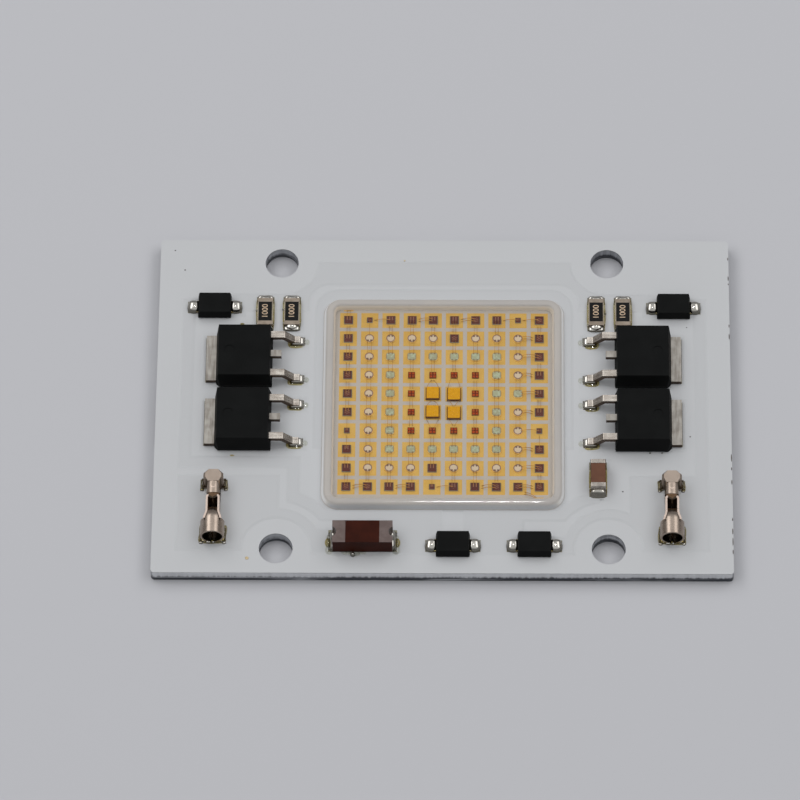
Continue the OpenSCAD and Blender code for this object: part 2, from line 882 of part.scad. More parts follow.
module driver_body(i) {
    color("#202124")
        at_driver(i) seated()
            difference() {
                intersection() {
                    moulded(driver_l, driver_w, driver_h, lead_t, driver_draft);
                    layer(0, driver_h) cut_corners_2d(driver_l, driver_w, driver_cut);
                }
                driver_tab_shape();
                driver_leads_shape();
                translate([mark_in - driver_l / 2, 0, driver_h - mark_depth])
                    cylinder(d = mark_d, h = 2 * mark_depth);
            }
}

module driver_tab(i) {
    color("#b9b1a8")
        at_driver(i) seated() driver_tab_shape();
}

module driver_leads(i) {
    color("#b9b1a8")
        at_driver(i) seated() driver_leads_shape();
}

// Diodes

module diode_leads_shape() {
    for (s = [-1, 1])
        layer(0, diode_lead_t)
            rect(s * (diode_span / 2 - diode_lead_in), -diode_lead_w / 2,
                 s * diode_span / 2, diode_lead_w / 2);
}

module diode_body(i) {
    color("#1d1e20")
        at_diode(i) seated()
            difference() {
                intersection() {
                    moulded(diode_l, diode_w, diode_h, diode_lead_t, diode_draft);
                    layer(0, diode_h) rounded_2d(diode_l, diode_w, diode_corner_r);
                }
                diode_leads_shape();
            }
}

module diode_leads(i) {
    color("#bdb6ac")
        at_diode(i) seated() diode_leads_shape();
}

// Chip parts: the long side lies along x in a chip's own frame

module box_mid(l, w, z0, z1) {
    translate([-l / 2, -w / 2, z0]) cube([l, w, z1 - z0]);
}

module resistor_core_shape() {
    box_mid(chip_l - 2 * plating_t, chip_w, plating_t, resistor_h - plating_t);
}

module resistor_core(i) {
    color("#e4e0d6")
        at_resistor(i) seated() resistor_core_shape();
}

module resistor_coat(i) {
    top = resistor_h - plating_t;
    color("#17181a")
        at_resistor(i) seated()
            box_mid(chip_l - 2 * chip_end_l, chip_w - 2 * coat_side, top, top + coat_t);
}

module resistor_ends(i) {
    color("#b6b0a6")
        at_resistor(i) seated()
            difference() {
                box_mid(chip_l, chip_w, 0, resistor_h);
                box_mid(chip_l - 2 * chip_end_l, chip_w + eps, -eps, resistor_h + eps);
                resistor_core_shape();
            }
}

module capacitor_bar(l, t) {
    translate([0, 0, capacitor_h / 2])
        rotate([90, 0, 90]) linear_extrude(l, center = true)
            rounded_2d(chip_w - 2 * t, capacitor_h - 2 * t, capacitor_r - t);
}

module capacitor_body() {
    color("#6f4738")
        at_capacitor() seated() capacitor_bar(chip_l - 2 * plating_t, plating_t);
}

module capacitor_ends() {
    color("#b6b0a6")
        at_capacitor() seated()
            difference() {
                capacitor_bar(chip_l, 0);
                box_mid(chip_l - 2 * chip_end_l, 2 * chip_w, -eps, capacitor_h + eps);
                capacitor_bar(chip_l - 2 * plating_t, plating_t);
            }
}

// Fuse

module fuse_notches(r) {
    for (s = [-1, 1])
        translate([s * (fuse_l / 2 + fuse_notch_out), 0, -eps]) cylinder(r = r, h = fuse_h + 2 * eps);
}

module fuse_body_shape() {
    waist = fuse_l - 2 * fuse_cap_l;
    box_mid(waist, fuse_w, 0, fuse_h);
    difference() {
        box_mid(fuse_l - 2 * plating_t, fuse_w, plating_t, fuse_h - plating_t);
        fuse_notches(fuse_notch_r + plating_t);
    }
}

module fuse_body() {
    color("#4a2822")
        at_fuse() seated() fuse_body_shape();
}

module fuse_caps() {
    color("#7d706c")
        at_fuse() seated()
            difference() {
                box_mid(fuse_l, fuse_w, 0, fuse_h);
                fuse_notches(fuse_notch_r);
                fuse_body_shape();
            }
}

// Terminals: the mouth is at y = 0 in a terminal's own frame

module tube_y(r, l) {
    rotate([-90, 0, 0])
        difference() {
            cylinder(r = r, h = l);
            translate([0, 0, -eps]) cylinder(r = r - sheet_t, h = l + 2 * eps);
        }
}

module terminal_barrel() {
    difference() {
        translate([0, 0, barrel_r]) tube_y(barrel_r, barrel_l);
        translate([-seam_w / 2, -eps, -eps]) cube([seam_w, barrel_l + 2 * eps, 2 * sheet_t]);
        for (s = [-1, 1])
            translate([0, barrel_l - slot_l, barrel_r])
                rotate([0, s * slot_turn, 0])
                    translate([-slot_w / 2, 0, barrel_r - 2 * sheet_t]) cube([slot_w, slot_l + eps, 3 * sheet_t]);
    }
}

// A curved tongue that starts at the plane y = 0, runs along +Y and slopes down
module tongue(r, l, root_w, tip_w, slope) {
    intersection() {
        rotate([-slope, 0, 0])
            intersection() {
                translate([0, -r, -r]) tube_y(r, l + r);
                layer(-r, 2 * r)
                    polygon([
                        [-root_w / 2, -r], [root_w / 2, -r], [root_w / 2, 0],
                        [tip_w / 2, l], [-tip_w / 2, l], [-root_w / 2, 0]
                    ]);
            }
        translate([-r, 0, -2 * r]) cube([2 * r, l + r, 4 * r]);
    }
}

// The tongue runs on from the top of the barrel and curls down onto the wire
module contact_tongue() {
    tip = barrel_l + tongue_curl_r * sin(tongue_turn);
    intersection() {
        translate([0, barrel_l, barrel_d - tongue_curl_r])
            rotate([0, -90, 0]) rotate_extrude(angle = tongue_turn) tongue_section_2d();
        layer(barrel_r, barrel_r)
            polygon([
                [-tongue_root_w / 2, barrel_l - eps], [tongue_root_w / 2, barrel_l - eps],
                [tongue_tip_w / 2, tip], [-tongue_tip_w / 2, tip]
            ]);
    }
}

// The top of the barrel's ring, drawn at the curl's distance from the turning axis
module tongue_section_2d() {
    intersection() {
        translate([tongue_curl_r - barrel_r, 0])
            difference() {
                circle(barrel_r);
                circle(barrel_r - sheet_t);
            }
        rect(tongue_curl_r / 2, -tongue_root_w / 2, tongue_curl_r + eps, tongue_root_w / 2);
    }
}

// Middle line of one side wall: flare, neck and the stop that is folded in behind the wire
function wall_line(s) =
    let (x = neck_w / 2 - sheet_t / 2, y1 = barrel_l, y2 = barrel_l + flare_l, y3 = y2 + neck_l)
    [
        [s * (x + flare_out), y1], [s * (x + flare_out * 0.85), y1 + flare_l * 0.25],
        [s * (x + flare_out * 0.2), y1 + flare_l * 0.75], [s * x, y2], [s * x, y3],
        [s * (x - stop_in), y3 + stop_in], [s * (x - stop_l), y3 + stop_in - stop_back]
    ];

// Sheet metal that stands on a line, with a round joint at each bend
module sheet_line_2d(line) {
    for (i = [0:len(line) - 1]) {
        translate(line[i]) circle(sheet_t / 2);
        if (i > 0) {
            step = line[i] - line[i - 1];
            translate(line[i - 1])
                rotate(atan2(step[1], step[0]))
                    translate([0, -sheet_t / 2]) square([norm(step), sheet_t]);
        }
    }
}

module terminal_floor_2d() {
    y1 = barrel_l;
    y2 = barrel_l + flare_l;
    w = neck_w / 2;
    polygon([
        [-w - flare_out, y1], [w + flare_out, y1], [w, y2], [w, term_l], [-w, term_l], [-w, y2]
    ]);
}

// Outline of the head's drawn rim, round its own middle
module head_rim_2d(l) {
    w = head_w / 2;
    polygon([
        [-w + head_cut, l / 2], [-w, l / 2 - head_cut], [-w, -l / 2 + head_bend],
        [-w + head_bend, -l / 2], [w - head_bend, -l / 2], [w, -l / 2 + head_bend],
        [w, l / 2 - head_cut], [w - head_cut, l / 2]
    ]);
}

// A flat cap with drawn edges, which narrows to a waist where the hood starts
module terminal_head() {
    w = head_w / 2 - head_bend;
    cap_l = head_l - head_waist / 2;
    translate([0, term_l - cap_l / 2, head_h - head_bend])
        linear_extrude(head_bend, scale = [2 * w / head_w, head_draw]) head_rim_2d(cap_l);
    layer(head_h - sheet_t, sheet_t)
        polygon([
            [-w, term_l - head_cut], [-w, term_l - head_l + head_waist], [-hood_root_w / 2, term_l - head_l],
            [hood_root_w / 2, term_l - head_l], [w, term_l - head_l + head_waist], [w, term_l - head_cut]
        ]);
}

// A leg under one side of the head, with its solder foot turned outwards
module terminal_leg(s) {
    inner = head_w / 2 - sheet_t;
    layer(0, head_h - head_bend)
        rect(s * inner, term_l - head_l + head_waist, s * head_w / 2, term_l - head_cut);
    layer(0, sheet_t)
        rect(s * neck_w / 2 - s * eps, term_l - foot_l, s * (inner + foot_w), term_l);
}

module terminal_shape() {
    terminal_barrel();
    contact_tongue();
    layer(0, sheet_t) terminal_floor_2d();
    terminal_head();
    for (s = [-1, 1]) {
        layer(0, wall_h)
            intersection() {
                sheet_line_2d(wall_line(s));
                rect(-barrel_r, barrel_l, barrel_r, term_l);
            }
        terminal_leg(s);
    }
    translate([0, term_l - head_l, head_h - hood_sink])
        rotate([0, 0, 180]) tongue(hood_r, hood_l, hood_root_w, hood_tip_w, hood_slope);
}

module terminal(s) {
    color("#a99c92")
        at_terminal(s) seated() terminal_shape();
}

// Solder joints

module solder_layer() {
    layer(z_copper, solder_t) children();
}

module driver_solder() {
    tip = driver_l / 2 + lead_l;
    color("#c3beb4")
        for (i = [0:3])
            at_driver(i) {
                solder_layer() driver_pads_2d();
                for (s = [-1, 1])
                    translate([tip, s * lead_pitch, z_seat])
                        fillet(solder_reach, lead_w, lead_t * lead_fillet_share);
            }
}

module diode_solder() {
    color("#c3beb4")
        for (i = [0:3])
            at_diode(i) {
                solder_layer() diode_pads_2d();
                for (a = [0, 180])
                    rotate([0, 0, a]) translate([diode_span / 2, 0, z_seat])
                        fillet(solder_reach, diode_lead_w, diode_lead_t);
            }
}

module chip_joint(h) {
    solder_layer() chip_pads_2d();
    for (a = [0, 180])
        rotate([0, 0, a]) translate([chip_l / 2, 0, z_seat])
            fillet(solder_reach, chip_w, h * chip_fillet_share);
}

module chip_solder() {
    color("#c3beb4") {
        for (i = [0:3])
            at_resistor(i) chip_joint(resistor_h);
        at_capacitor() chip_joint(capacitor_h);
    }
}

module fuse_solder() {
    color("#c3beb4")
        at_fuse() {
            solder_layer() fuse_pads_2d();
            for (a = [0, 180])
                rotate([0, 0, a]) translate([fuse_l / 2, 0, z_seat])
                    fillet(solder_reach, fuse_w, fuse_h * fuse_fillet_share);
        }
}

// Solder along both sides of a barrel and round its rear feet
module terminal_joint() {
    side = barrel_r + barrel_solder_side;
    solder_layer() terminal_pads_2d();
    difference() {
        for (s = [-1, 1])
            layer(z_seat, barrel_solder_h)
                rect(s * barrel_solder_in, 0, s * side, barrel_l);
        translate([0, -eps, z_seat + barrel_r])
            rotate([-90, 0, 0]) cylinder(r = barrel_r, h = barrel_l + 2 * eps);
    }
}

module terminal_solder() {
    color("#c3beb4")
        for (s = [-1, 1])
            at_terminal(s) terminal_joint();
}

core_plate();
insulation();
copper_traces();
solder_mask();
dam();
gel();
die_pads();
string_end_pads();
color("#5c3835") dies("L");  // large_dies
color("#4c3230") dies("S");  // small_dies
color("#e2cdb6") dies("W");  // round_dies
color("#a6ae8c") dies("G");  // clear_dies
color("#93391f") dies("R");  // red_dies
color("#6b4a1e") dies("Y");  // plate_chips
phosphor_plates();
bond_wires();
for (i = [0:3]) {
    driver_body(i);
    driver_tab(i);
    driver_leads(i);
    diode_body(i);
    diode_leads(i);
    resistor_core(i);
    resistor_coat(i);
    resistor_ends(i);
}
capacitor_body();
capacitor_ends();
fuse_body();
fuse_caps();
terminal(-1);  // terminal_left
terminal(1);  // terminal_right
driver_solder();
diode_solder();
chip_solder();
fuse_solder();
terminal_solder();
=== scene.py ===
# %% [markdown]
# This lesson dresses a small LED light engine: a white board with an aluminium core, a square field of
# bare dies under clear gel, and the driver parts soldered round it. The solids come from the CAD model,
# so the lesson is about finishes, light and the soft shapes that a CAD model leaves plain: gel, solder
# and flux.

# %% Load the solids
import bmesh
import bpy
import math
from mathutils import Matrix, Vector, noise


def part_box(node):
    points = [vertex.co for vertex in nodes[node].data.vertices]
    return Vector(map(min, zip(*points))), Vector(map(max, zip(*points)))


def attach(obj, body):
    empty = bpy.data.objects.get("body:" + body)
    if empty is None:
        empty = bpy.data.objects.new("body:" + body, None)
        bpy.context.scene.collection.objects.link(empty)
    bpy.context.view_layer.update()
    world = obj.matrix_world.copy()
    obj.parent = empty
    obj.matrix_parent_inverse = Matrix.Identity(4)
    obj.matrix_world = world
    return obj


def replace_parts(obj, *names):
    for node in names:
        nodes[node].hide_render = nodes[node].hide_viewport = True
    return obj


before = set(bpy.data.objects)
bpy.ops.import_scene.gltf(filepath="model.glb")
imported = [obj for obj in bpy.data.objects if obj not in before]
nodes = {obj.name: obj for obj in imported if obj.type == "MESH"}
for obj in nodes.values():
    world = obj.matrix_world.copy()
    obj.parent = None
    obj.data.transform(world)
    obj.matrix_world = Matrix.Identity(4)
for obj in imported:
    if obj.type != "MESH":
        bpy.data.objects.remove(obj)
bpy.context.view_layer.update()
scene = bpy.context.scene
scene.view_settings.view_transform = "Standard"
MM = 0.001


# %% [markdown]
# The camera stands about 65 cm away on a long lens, so the board's sides run almost parallel. A camera
# could be turned by eye until the picture looks right. Here its place and its lens were worked out from
# the four screw holes and the board's corners, so that any difference that is left lies in the model.

# %% Camera
CAMERA_PLACE = (0.005672, -0.325435, 0.567966)
CAMERA_TURN = (29.9262, 0.6932, 0.5871)
camera_data = bpy.data.cameras.new("photo_camera")
camera_data.sensor_width = 36.0
camera_data.lens = 281.74
camera_data.clip_start = 0.01
camera = bpy.data.objects.new("photo_camera", camera_data)
camera.location = CAMERA_PLACE
camera.rotation_euler = [math.radians(a) for a in CAMERA_TURN]
scene.collection.objects.link(camera)
scene.camera = camera
print("camera at", tuple(round(v, 3) for v in camera.location), "lens", camera_data.lens)

# %% [markdown]
# Nodes could be placed and linked one by one, but then a finish takes a page. These helpers place a node,
# set or link its sockets and give back the output that the next line needs, so that each line says one
# thing. Colours are written as they look on a screen, from 0 to 255, and turned into the linear values
# that the renderer works with.

# %% Node helpers
def paint(red, green, blue):
    def linear(v):
        v /= 255.0
        return v / 12.92 if v <= 0.04045 else ((v + 0.055) / 1.055) ** 2.4
    return (linear(red), linear(green), linear(blue), 1.0)


def feed(tree, socket, value):
    if isinstance(value, bpy.types.NodeSocket):
        tree.links.new(value, socket)
    else:
        socket.default_value = value


def add(tree, kind, sockets=None, **settings):
    node = tree.nodes.new("ShaderNode" + kind)
    for key, value in settings.items():
        setattr(node, key, value)
    for key, value in (sockets or {}).items():
        feed(tree, node.inputs[key], value)
    return node


def calc(tree, operation, *values):
    return add(tree, "Math", dict(enumerate(values)), operation=operation).outputs[0]


def vector_calc(tree, operation, *values):
    return add(tree, "VectorMath", dict(enumerate(values)), operation=operation).outputs[0]


def axes(tree, vector):
    return add(tree, "SeparateXYZ", {0: vector}).outputs


def span(tree, value, low, high, to_low=0.0, to_high=1.0):
    sockets = {"Value": value, "From Min": low, "From Max": high, "To Min": to_low, "To Max": to_high}
    return add(tree, "MapRange", sockets).outputs[0]


def span_mm(tree, value, low, high, *to):
    return span(tree, value, low * MM, high * MM, *to)


def blend(tree, factor, first, second):
    return add(tree, "Mix", {0: factor, 6: first, 7: second}, data_type="RGBA").outputs[2]


print("node helpers ready")

# %% [markdown]
# The board lies in a tent that is pale above and dark round the foot, between two long softboxes. One
# even dome would be simpler, but metal shows the light rather than its own colour: the softboxes leave
# two bright bands on a round barrel, the pale top a middle tone between them and the dark foot the deep
# edges. A small lamp overhead adds the sharp glints.

# %% Light and world
TENT_TINT = (0.975, 0.99, 1.0, 1.0)
TENT_FOOT = 0.28
TENT_TOP = 0.73
DARK_BELOW = 0.5
PALE_ABOVE = 0.8
world = bpy.data.worlds.new("white_tent")
scene.world = world
world.use_nodes = True
tree = world.node_tree
upwards = axes(tree, add(tree, "TexCoord").outputs["Generated"])[2]
tent = tree.nodes["Background"]
tent.inputs["Color"].default_value = TENT_TINT
feed(tree, tent.inputs["Strength"], span(tree, upwards, DARK_BELOW, PALE_ABOVE, TENT_FOOT, TENT_TOP))


def area_lamp(name, place, across, along, watts):
    lamp = bpy.data.lights.new(name, "AREA")
    lamp.shape = "RECTANGLE"
    lamp.size = across
    lamp.size_y = along
    lamp.energy = watts
    outward = Vector(place).normalized()
    depth = (Vector((0.0, 1.0, 0.0)) - outward * outward.y).normalized()
    turn = Matrix((depth.cross(outward), depth, outward)).transposed()
    lamp_object = bpy.data.objects.new(name, lamp)
    lamp_object.location = place
    lamp_object.rotation_euler = turn.to_euler()
    scene.collection.objects.link(lamp_object)
    print(name, "at", place, watts, "W")


area_lamp("left_softbox", (-0.355, 0.16, 0.508), across=0.28, along=0.75, watts=1.27)
area_lamp("right_softbox", (0.355, 0.16, 0.508), across=0.28, along=0.75, watts=0.97)
area_lamp("glint_lamp", (0.001, 0.18, 0.98), across=0.038, along=0.06, watts=0.6)

# %% [markdown]
# A finish starts from a plain Principled shader. Numbers that are the same all over go straight onto its
# sockets, and what changes over the surface is linked. Patterns read object coordinates, in metres,
# because all the pieces share one origin and a pattern then keeps its true size on each of them.

# %% Material helpers
SOCKET_LABELS = {"ior": "IOR", "specular": "Specular IOR Level"}


def object_place(tree):
    return add(tree, "TexCoord").outputs["Object"]


def face_normal(tree):
    return add(tree, "NewGeometry").outputs["Normal"]


def noise_at(tree, place, scale, detail=3.0):
    return add(tree, "TexNoise", {"Vector": place, "Scale": scale, "Detail": detail}).outputs[0]


def relief(tree, height, strength, depth):
    sockets = {"Strength": strength, "Distance": depth * MM, "Height": height}
    return add(tree, "Bump", sockets).outputs[0]


def set_looks(tree, surface, **looks):
    for key, value in looks.items():
        label = SOCKET_LABELS.get(key, key.replace("_", " ").title())
        feed(tree, surface.inputs[label], value)


def start_material(name, **plain):
    material = bpy.data.materials.new(name)
    material.use_nodes = True
    tree = material.node_tree
    surface = tree.nodes["Principled BSDF"]
    set_looks(tree, surface, **plain)
    return material, tree, surface


print("material helpers ready")

# %% [markdown]
# Some effects come back in many finishes. Copies of the same nodes in each material would drift apart, so
# each effect is a node group that is built once. Mottle gives soft patches and fine grain. Facing tells
# tops and undersides from sides. Square reach is the distance from the middle of the array, measured
# along the longer side, which tells inside from outside of the dam.

# %% Shared node groups
def start_group(name, outputs, inputs=()):
    group = bpy.data.node_groups.new(name, "ShaderNodeTree")
    for label, default in inputs:
        socket = group.interface.new_socket(label, in_out="INPUT", socket_type="NodeSocketFloat")
        socket.default_value = default
    for label in outputs:
        group.interface.new_socket(label, in_out="OUTPUT", socket_type="NodeSocketFloat")
    entry = group.nodes.new("NodeGroupInput")
    leave = group.nodes.new("NodeGroupOutput")
    return group, entry, leave


def use_group(tree, group, **values):
    node = tree.nodes.new("ShaderNodeGroup")
    node.node_tree = group
    for key, value in values.items():
        feed(tree, node.inputs[key], value)
    return node.outputs


mottle, entry, leave = start_group(
    "mottle", ["Patch", "Grain"], [("Patch_Scale", 400.0), ("Grain_Scale", 6000.0)])
spot = object_place(mottle)
feed(mottle, leave.inputs["Patch"], noise_at(mottle, spot, entry.outputs["Patch_Scale"], 2.0))
feed(mottle, leave.inputs["Grain"], noise_at(mottle, spot, entry.outputs["Grain_Scale"], 3.0))

facing, _, leave = start_group("facing", ["Top", "Under"])
slope = axes(facing, face_normal(facing))[2]
feed(facing, leave.inputs["Top"], span(facing, slope, 0.4, 0.8))
feed(facing, leave.inputs["Under"], span(facing, slope, -0.8, -0.4, 1.0, 0.0))

square_reach, _, leave = start_group("square_reach", ["Reach"])
off_middle = axes(square_reach, vector_calc(square_reach, "ABSOLUTE", object_place(square_reach)))
feed(square_reach, leave.inputs["Reach"], calc(square_reach, "MAXIMUM", off_middle[0], off_middle[1]))


def patchy(tree, patches, most=1.0):
    return span(tree, patches["Patch"], 0.35, 0.65, 0.0, most)


def grain_rough(tree, patches, low, high):
    return span(tree, patches["Grain"], 0.2, 0.8, low, high)


print("groups:", [g.name for g in bpy.data.node_groups])

# %% [markdown]
# Solder mask is a thin white lacquer over the whole board. It could be painted with a picture of the
# tracks, but a picture slides when the board changes. Here the height of a point tells bare board, slope
# and copper apart, because the mask climbs a few hundredths of a millimetre onto the copper and looks a
# touch darker there. Inside the dam the white is painted warmer, a painted reflection of the gold beside
# it.

# %% White mask
Z_BARE = 1.60
Z_MASK = 1.67
MASK_BARE = paint(190, 191, 193)
MASK_SLOPE = paint(187, 188, 190)
MASK_COPPER = paint(186, 187, 189)
MASK_DAM_GOLD_BOUNCE = paint(182, 176, 169)
SLOPE_STOPS = (0.45, 0.8)
mask_white, tree, surface = start_material("mask_white", specular=0.4)
height = axes(tree, object_place(tree))[2]
level_tone = add(tree, "ValToRGB", {0: span_mm(tree, height, Z_BARE, Z_MASK - 0.001)})
tones = level_tone.color_ramp.elements
tones[0].color = MASK_BARE
tones[1].color = MASK_COPPER
for stop in SLOPE_STOPS:
    tones.new(stop).color = MASK_SLOPE
patches = use_group(tree, mottle, Patch_Scale=90.0, Grain_Scale=5000.0)
colour = blend(tree, patchy(tree, patches, 0.2), level_tone.outputs[0], MASK_COPPER)
# Painted reflection: inside the dam the white is painted warmer, for light bounced off the gold.
in_dam = span_mm(tree, use_group(tree, square_reach)["Reach"], 11.4, 11.6, 1.0, 0.0)
colour = blend(tree, in_dam, colour, MASK_DAM_GOLD_BOUNCE)
set_looks(tree, surface, base_color=colour, roughness=grain_rough(tree, patches, 0.4, 0.52),
          normal=relief(tree, patches["Grain"], 0.06, 0.02))
print(mask_white.name)

# %% [markdown]
# The core shows only at the cut edges, in the holes and underneath. A shear leaves fine upright lines in
# the metal, and the metal is drawn darker below a ragged line. Bright runs on the cut are painted
# highlights, and the upper part of the front face is painted brighter, as painted light. Grooves in the
# mesh would need far too many faces. Noise that is squeezed along one axis draws such lines, and the
# same trick, turned, draws the rolling lines underneath.

# %% Aluminium core
def both(tree, *masks):
    mask = masks[0]
    for other in masks[1:]:
        mask = calc(tree, "MULTIPLY", mask, other)
    return mask


def squeezed_noise(tree, scale, detail=3.0):
    squeezed = add(tree, "Mapping", {"Vector": object_place(tree), "Scale": scale}).outputs[0]
    return noise_at(tree, squeezed, 1.0, detail)


CORE_LOWER = paint(84, 87, 92)
CORE_CUT = paint(194, 196, 200)
CORE_GROOVE = paint(80, 82, 86)
CORE_GLINT = paint(230, 232, 235)
CORE_FRONT_LIT = paint(250, 251, 252)
RAGGED_REACH = 0.7
core_metal, tree, surface = start_material("core_metal", metallic=1.0)
lines = squeezed_noise(tree, (2600.0, 2600.0, 300.0), 4.0)
glint_runs = squeezed_noise(tree, (160.0, 160.0, 2600.0))
rolling = squeezed_noise(tree, (60.0, 5000.0, 60.0), 4.0)
place = axes(tree, object_place(tree))
# Darker towards the bottom, below a ragged line.
ragged_height = calc(tree, "ADD", place[2], calc(tree, "MULTIPLY", lines, RAGGED_REACH * MM))
colour = blend(tree, span_mm(tree, ragged_height, 0.85, 1.2), CORE_LOWER, CORE_CUT)
colour = blend(tree, span(tree, lines, 0.35, 0.6, 0.45, 0.0), colour, CORE_GROOVE)
# Painted highlight: bright runs are painted into the cut metal as glints.
colour = blend(tree, span(tree, glint_runs, 0.52, 0.7, 0.0, 0.7), colour, CORE_GLINT)
# Painted light: the upper part of the front face is painted brighter, where the front edge is lit.
front = span_mm(tree, place[1], -19.95, -19.9, 0.6, 0.0)
colour = blend(tree, both(tree, front, span_mm(tree, ragged_height, 0.95, 1.25)), colour, CORE_FRONT_LIT)
rolled = blend(tree, span(tree, rolling, 0.3, 0.7), paint(186, 188, 192), paint(208, 210, 214))
colour = blend(tree, use_group(tree, facing)["Under"], colour, rolled)
set_looks(tree, surface, base_color=colour, roughness=span(tree, lines, 0.3, 0.7, 0.3, 0.5),
          normal=relief(tree, lines, 0.35, 0.03))
print(core_metal.name)

# %% [markdown]
# Between core and copper lies a thin layer of filled resin, and only its pale edge shows. Copper shows at
# the pads, tinned on top and raw at its cut sides. The tin could be a solid of its own, but it is far
# thinner than the foil, so the way a face points chooses between the two colours.

# %% Insulation and copper
resin_layer, tree, surface = start_material("resin_layer", roughness=0.6)
patches = use_group(tree, mottle, Patch_Scale=1500.0, Grain_Scale=9000.0)
colour = blend(tree, patches["Patch"], paint(150, 152, 150), paint(196, 198, 194))
set_looks(tree, surface, base_color=colour)

copper_foil, tree, surface = start_material("copper_foil", metallic=1.0)
patches = use_group(tree, mottle, Patch_Scale=900.0, Grain_Scale=9000.0)
tinned = blend(tree, patches["Patch"], paint(104, 100, 84), paint(140, 137, 121))
raw = blend(tree, patches["Patch"], paint(176, 108, 74), paint(206, 138, 100))
set_looks(tree, surface, base_color=blend(tree, use_group(tree, facing)["Top"], raw, tinned),
          roughness=grain_rough(tree, patches, 0.3, 0.5))
print(resin_layer.name, copper_foil.name)

# %% [markdown]
# The dam is a squeezed-out bead of white silicone. Its inner flank looks beige because it stands in the
# gel beside the gold. Light scattered inside the silicone and the light on each flank would give its
# tones, but slowly and with noise, so painted light stands in for them: a beige inner flank, a darker
# crest and a pale outer flank. The front bar is the glossiest and shows a line of light, and its outer
# flank is turned away from the softboxes, so it gets painted shade.

# %% Dam silicone
DAM_INNER_LIT = paint(234, 226, 214)
DAM_OUTER_LIT = paint(240, 240, 240)
DAM_FRONT_SHADE = paint(196, 197, 199)
dam_silicone, tree, surface = start_material("dam_silicone", ior=1.42)
patches = use_group(tree, mottle, Patch_Scale=260.0, Grain_Scale=3000.0)
outer = span_mm(tree, use_group(tree, square_reach)["Reach"], 11.6, 12.35)
forward = axes(tree, object_place(tree))[1]
shaded = span_mm(tree, forward, -12.1, -11.8, 1.0, 0.0)
# Painted light and shade: the flanks are painted paler than the crest, and the front outer flank darker.
flanks = blend(tree, outer, DAM_INNER_LIT, blend(tree, shaded, DAM_OUTER_LIT, DAM_FRONT_SHADE))
crest = blend(tree, patchy(tree, patches), paint(179, 173, 167), paint(174, 169, 165))
set_looks(tree, surface, base_color=blend(tree, use_group(tree, facing)["Top"], flanks, crest),
          roughness=span_mm(tree, forward, -11.6, -11.2, 0.05, 0.4))
print(dam_silicone.name)

# %% [markdown]
# The gel over the dies is clear silicone, and flux is a clear resin that soldering leaves behind, from
# colourless to brown. Glass that bends light would be the usual choice, but it renders slowly over so
# many small parts. These layers are thin, so a tinted transparent shader under a gloss does for them. Low
# waves and a roughness that wanders make the gloss wet, and rays that leave from inside pass without a
# second gloss.

# %% Clear gel and flux
def opposite(tree, mask):
    return calc(tree, "SUBTRACT", 1.0, mask)


def clear_coat(name, tint, ior, rough, ripple):
    material = bpy.data.materials.new(name)
    material.use_nodes = True
    tree = material.node_tree
    tree.nodes.remove(tree.nodes["Principled BSDF"])
    through = add(tree, "BsdfTransparent", {"Color": tint})
    patches = use_group(tree, mottle, Patch_Scale=1600.0, Grain_Scale=6000.0)
    wet = span(tree, patches["Grain"], 0.3, 0.7, 0.6 * rough, 1.4 * rough)
    waves = relief(tree, patches["Patch"], 0.6, ripple)
    gloss = add(tree, "BsdfGlossy", {"Color": (1.0, 1.0, 1.0, 1.0), "Roughness": wet, "Normal": waves})
    shine = add(tree, "Fresnel", {"IOR": ior}).outputs[0]
    outside = opposite(tree, add(tree, "NewGeometry").outputs["Backfacing"])
    share = calc(tree, "MULTIPLY", shine, outside)
    layers = add(tree, "MixShader", {0: share, 1: through.outputs[0], 2: gloss.outputs[0]})
    feed(tree, tree.nodes["Material Output"].inputs["Surface"], layers.outputs[0])
    print(name)
    return material


clear_gel = clear_coat("clear_gel", (0.985, 0.975, 0.965, 1.0), ior=1.28, rough=0.05, ripple=0.001)
clear_flux = clear_coat("clear_flux", (0.93, 0.93, 0.9, 1.0), ior=1.5, rough=0.04, ripple=0.06)
amber_flux = clear_coat("amber_flux", (0.82, 0.76, 0.5, 1.0), ior=1.5, rough=0.06, ripple=0.06)
brown_flux = clear_coat("brown_flux", (0.7, 0.64, 0.42, 1.0), ior=1.5, rough=0.06, ripple=0.06)

# %% [markdown]
# The die pads are plated with a thin satin gold over copper, grainy at close range. The bond wires are
# the same metal, drawn thin and bright. As full metal the pads would mirror the tent and lose their
# colour. The plating is so matte that much of its colour comes back as from paint, so its metallic value
# stays below one.

# %% Gold
gold_plate, tree, surface = start_material("gold_plate", metallic=0.4)
patches = use_group(tree, mottle, Patch_Scale=700.0, Grain_Scale=14000.0)
colour = blend(tree, patchy(tree, patches), paint(205, 166, 79), paint(211, 174, 90))
colour = blend(tree, span(tree, patches["Grain"], 0.35, 0.7, 0.0, 0.3), colour, paint(196, 152, 65))
set_looks(tree, surface, base_color=colour, roughness=grain_rough(tree, patches, 0.42, 0.6))

gold_wire, tree, surface = start_material("gold_wire", metallic=1.0, roughness=0.3)
patches = use_group(tree, mottle, Patch_Scale=2000.0, Grain_Scale=20000.0)
colour = blend(tree, patches["Patch"], paint(150, 104, 48), paint(196, 146, 74))
set_looks(tree, surface, base_color=colour)
print(gold_plate.name, gold_wire.name)
